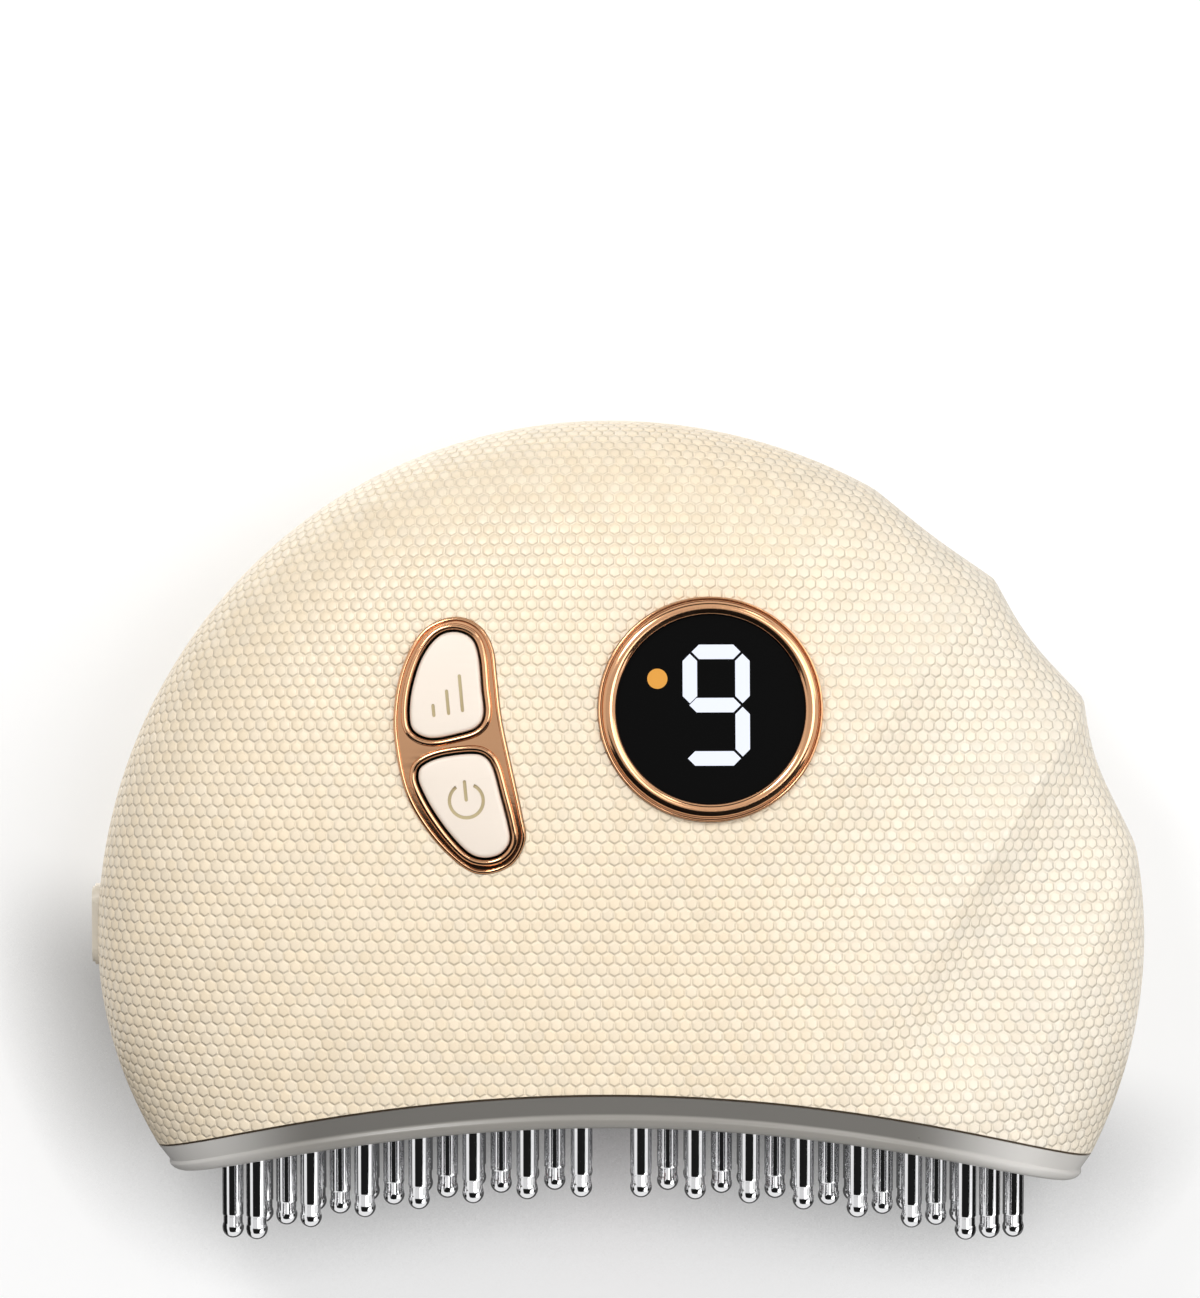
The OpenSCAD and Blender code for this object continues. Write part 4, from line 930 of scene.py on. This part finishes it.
def button(name, line, strokes, node):
    """A button with its icon cut in, and a tinted floor in the cut."""
    cap = raised(f"{name}_cap", [line], PAD_BACK, BUTTON_RISE, CAP_EDGE, BUTTON, node)
    inlays, faces = [], []
    for outline in strokes():
        y = sum(p[1] for p in outline) / len(outline)
        top = BUTTON_RISE - float(crown_drop(y))
        cut(cap, prism_tool(outline, top - ICON_DEPTH, top + 1, Matrix.Identity(4)))
        base, n = len(inlays), len(outline)
        inlays += [(a, b, top - ICON_DEPTH - ICON_HALF) for a, b in outline]
        inlays += [(a, b, top - ICON_DEPTH + ICON_HALF) for a, b in outline]
        faces += [tuple(base + j for j in range(n))[::-1],
                  tuple(base + n + j for j in range(n))]
        faces += [(base + j, base + (j + 1) % n, base + n + (j + 1) % n, base + n + j)
                  for j in range(n)]
    cap.data.transform(BUTTON_FRAME)
    dress(cap, BUTTON, node)
    stands_for(cap, node)
    icon = add_mesh(f"{name}_icon", inlays, faces, ICON, node, shade=False)
    icon.data.transform(BUTTON_FRAME)


button("level", LEVEL_LINE, level_strokes, "level_button")
button("power", POWER_LINE, power_strokes, "power_button")

# Smooth shading of the CAD nodes that stay
for name, node in NODES.items():
    if not node.hide_render:
        node.data.polygons.foreach_set("use_smooth", [True] * len(node.data.polygons))
        node.data.set_sharp_from_angle(angle=NODE_SHARP)


# Stage: a white wall that is seen from its front only, with a soft shade near the arch
WALL_GAP, WALL_HALF, WALL_LOW, WALL_HIGH = 0.4, 3, -0.4, 3
WALL_SHADE, WALL_LIFT = 0.62, 0.385
CONTACT_REACH, CONTACT_END, CONTACT_FADE, CONTACT_POWER = 24.0, 34.0, 18.0, 1.8
CONTACT_WAY = (0.2, 0.0, 1.0)


def one_sided(tree, shader, out):
    """Shows the shader on the front of the faces, and nothing on their back."""
    clear = node_of(tree, "ShaderNodeBsdfTransparent")
    side = node_of(tree, "ShaderNodeNewGeometry")
    choice = node_of(tree, "ShaderNodeMixShader")
    tree.links.new(side.outputs["Backfacing"], choice.inputs["Fac"])
    tree.links.new(shader.outputs[0], choice.inputs[1])
    tree.links.new(clear.outputs[0], choice.inputs[2])
    tree.links.new(choice.outputs[0], out.inputs["Surface"])


def bare_material(name):
    """A material with an output alone: its tree and the output."""
    material = bpy.data.materials.new(name)
    material.use_nodes = True
    material.node_tree.nodes.clear()
    return material, material.node_tree, node_of(material.node_tree, "ShaderNodeOutputMaterial")


def wall_material():
    """White that is lit in part by itself, and shaded where the massager is near and low."""
    material, tree, out = bare_material("stage_white")
    diffuse = node_of(tree, "ShaderNodeBsdfDiffuse")
    open_share = node_of(tree, "ShaderNodeAmbientOcclusion", samples=8)
    open_share.inputs["Distance"].default_value = CONTACT_REACH * MM
    place = node_of(tree, "ShaderNodeNewGeometry").outputs["Position"]
    mask = ramp(tree, vectors(tree, "DOT_PRODUCT", place, CONTACT_WAY),
                CONTACT_END * MM, (CONTACT_END - CONTACT_FADE) * MM)
    covered = maths(tree, "SUBTRACT", 1, open_share.outputs["AO"])
    open_here = maths(tree, "POWER", maths(tree, "SUBTRACT", 1, maths(
        tree, "MULTIPLY", mask, covered)), CONTACT_POWER)
    tint = node_of(tree, "ShaderNodeCombineColor")
    for socket in tint.inputs[:3]:
        tree.links.new(maths(tree, "MULTIPLY", open_here, WALL_SHADE), socket)
    tree.links.new(tint.outputs[0], diffuse.inputs["Color"])
    path = node_of(tree, "ShaderNodeLightPath")
    light = node_of(tree, "ShaderNodeEmission")
    seen = maths(tree, "MAXIMUM", path.outputs["Is Camera Ray"], path.outputs["Is Glossy Ray"])
    tree.links.new(maths(tree, "MULTIPLY", maths(tree, "MULTIPLY", seen, WALL_LIFT),
                         open_here), light.inputs["Strength"])
    both = node_of(tree, "ShaderNodeAddShader")
    tree.links.new(diffuse.outputs[0], both.inputs[0])
    tree.links.new(light.outputs[0], both.inputs[1])
    one_sided(tree, both, out)
    return material


def stage_plane(name, corners, material):
    mesh = bpy.data.meshes.new(name)
    mesh.from_pydata(corners, [], [(0, 1, 2, 3)])
    mesh.materials.append(material)
    plane = bpy.data.objects.new(name, mesh)
    bpy.context.scene.collection.objects.link(plane)
    return plane


wall_y = (HALF_DEPTH + WALL_GAP) * MM
wall = stage_plane("backdrop", [(-WALL_HALF, wall_y, WALL_LOW), (WALL_HALF, wall_y, WALL_LOW),
                                (WALL_HALF, wall_y, WALL_HIGH), (-WALL_HALF, wall_y, WALL_HIGH)],
                   wall_material())
wall.visible_shadow = False
wall.visible_diffuse = False

# World: white to the camera and to reflections, and dimmer as light
AMBIENT = 0.41
world = bpy.data.worlds.new("studio")
bpy.context.scene.world = world
world.use_nodes = True
tree = world.node_tree
sky = tree.nodes["Background"]
sky.inputs["Color"].default_value = (1, 1, 1, 1)
path = node_of(tree, "ShaderNodeLightPath")
seen = maths(tree, "MAXIMUM", path.outputs["Is Camera Ray"],
             maths(tree, "MAXIMUM", path.outputs["Is Glossy Ray"],
                   path.outputs["Is Transmission Ray"]))
tree.links.new(maths(tree, "MULTIPLY_ADD", seen, 1 - AMBIENT, AMBIENT), sky.inputs["Strength"])

# Lamps, all turned to the middle of the body: place in metres, size and watts
LAMPS = (
    ("key", (-0.20, -0.38, 0.36), 0.14, 1.08),
    ("glint", (0.27, -0.45, 0.57), 0.10, 0.24),
    ("right", (0.62, -0.45, 0.40), 0.40, 1.02),
    ("front", (0.35, -0.80, 0.20), 0.40, 2.0),
    ("low", (0.50, -0.40, -0.30), 0.40, 1.12),
    ("rear", (-0.30, 0.60, 0.50), 0.40, 3.5),
)
centre = Vector((0, 0, BODY_Z * MM))
for name, place, size, watts in LAMPS:
    data = bpy.data.lights.new(name, "AREA")
    data.size = size
    data.energy = watts
    made = bpy.data.objects.new(name, data)
    bpy.context.scene.collection.objects.link(made)
    made.location = Vector(place)
    made.rotation_mode = "QUATERNION"
    made.rotation_quaternion = (centre - made.location).to_track_quat("-Z", "Y")

# Cards that only reflections see, from their front, in metres
DARK_LEVEL, BACK_LEVEL, MID_LEVEL, HIGH_LEVEL = 0.012, 0.09, 0.8, 0.03
CARD_BACK = 0.0212


def card(name, corners, level):
    look, tree, out = bare_material(name)
    light = node_of(tree, "ShaderNodeEmission")
    light.inputs["Color"].default_value = (level, level, level, 1)
    one_sided(tree, light, out)
    plane = stage_plane(name, corners, look)
    plane.visible_camera = plane.visible_diffuse = plane.visible_shadow = False
    plane.visible_transmission = False


def upright_card(name, a, b, low, high, level):
    """Card from plan point a to b between two heights."""
    card(name, [(*a, low), (*b, low), (*b, high), (*a, high)], level)


def level_card(name, low, high, z, level):
    """Card at height z between two corners in plan."""
    card(name, [(low[0], low[1], z), (high[0], low[1], z), (high[0], high[1], z),
                (low[0], high[1], z)], level)


upright_card("pin_line", (0.56, -0.6), (-0.56, -0.6), -0.78, 0.045, DARK_LEVEL)
upright_card("left_card", (-0.12, -0.03), (-0.075, 0.020), -0.05, 0.018, DARK_LEVEL)
upright_card("right_card", (0.075, 0.020), (0.12, -0.03), -0.05, 0.018, DARK_LEVEL)
upright_card("back_card", (-0.075, CARD_BACK), (0.075, CARD_BACK), -0.05, 0.018, BACK_LEVEL)
level_card("low_card", (-0.10, -0.16), (0.10, -0.028), 0.032, DARK_LEVEL)
upright_card("front_grey", (0.9, -0.9), (-0.9, -0.9), -0.03, 0.45, MID_LEVEL)
level_card("high_card", (0.5, -0.55), (-0.5, -0.25), 0.75, HIGH_LEVEL)

# Camera, placed from the photograph's own scale
PHOTO_WIDTH, PHOTO_HEIGHT, MM_PER_PIXEL = 1200, 1298, 0.124
AXIS_PIXEL, BASE_PIXEL = 621, 1251.5
EYE_HEIGHT, DISTANCE = 128.5, 700.0
aim = Vector(((PHOTO_WIDTH / 2 - AXIS_PIXEL) * MM_PER_PIXEL, 0,
              (BASE_PIXEL - PHOTO_HEIGHT / 2) * MM_PER_PIXEL)) * MM
camera = bpy.data.cameras.new("camera")
eye = bpy.data.objects.new("camera", camera)
bpy.context.scene.collection.objects.link(eye)
eye.location = Vector((0, -DISTANCE, EYE_HEIGHT)) * MM
eye.rotation_mode = "QUATERNION"
eye.rotation_quaternion = (aim - eye.location).to_track_quat("-Z", "Y")
camera.sensor_fit = "AUTO"
camera.sensor_width = 36.0
camera.lens = camera.sensor_width * (aim - eye.location).length / (
    PHOTO_HEIGHT * MM_PER_PIXEL * MM)
camera.clip_start = 0.01
bpy.context.scene.camera = eye
bpy.context.scene.view_settings.view_transform = "Standard"
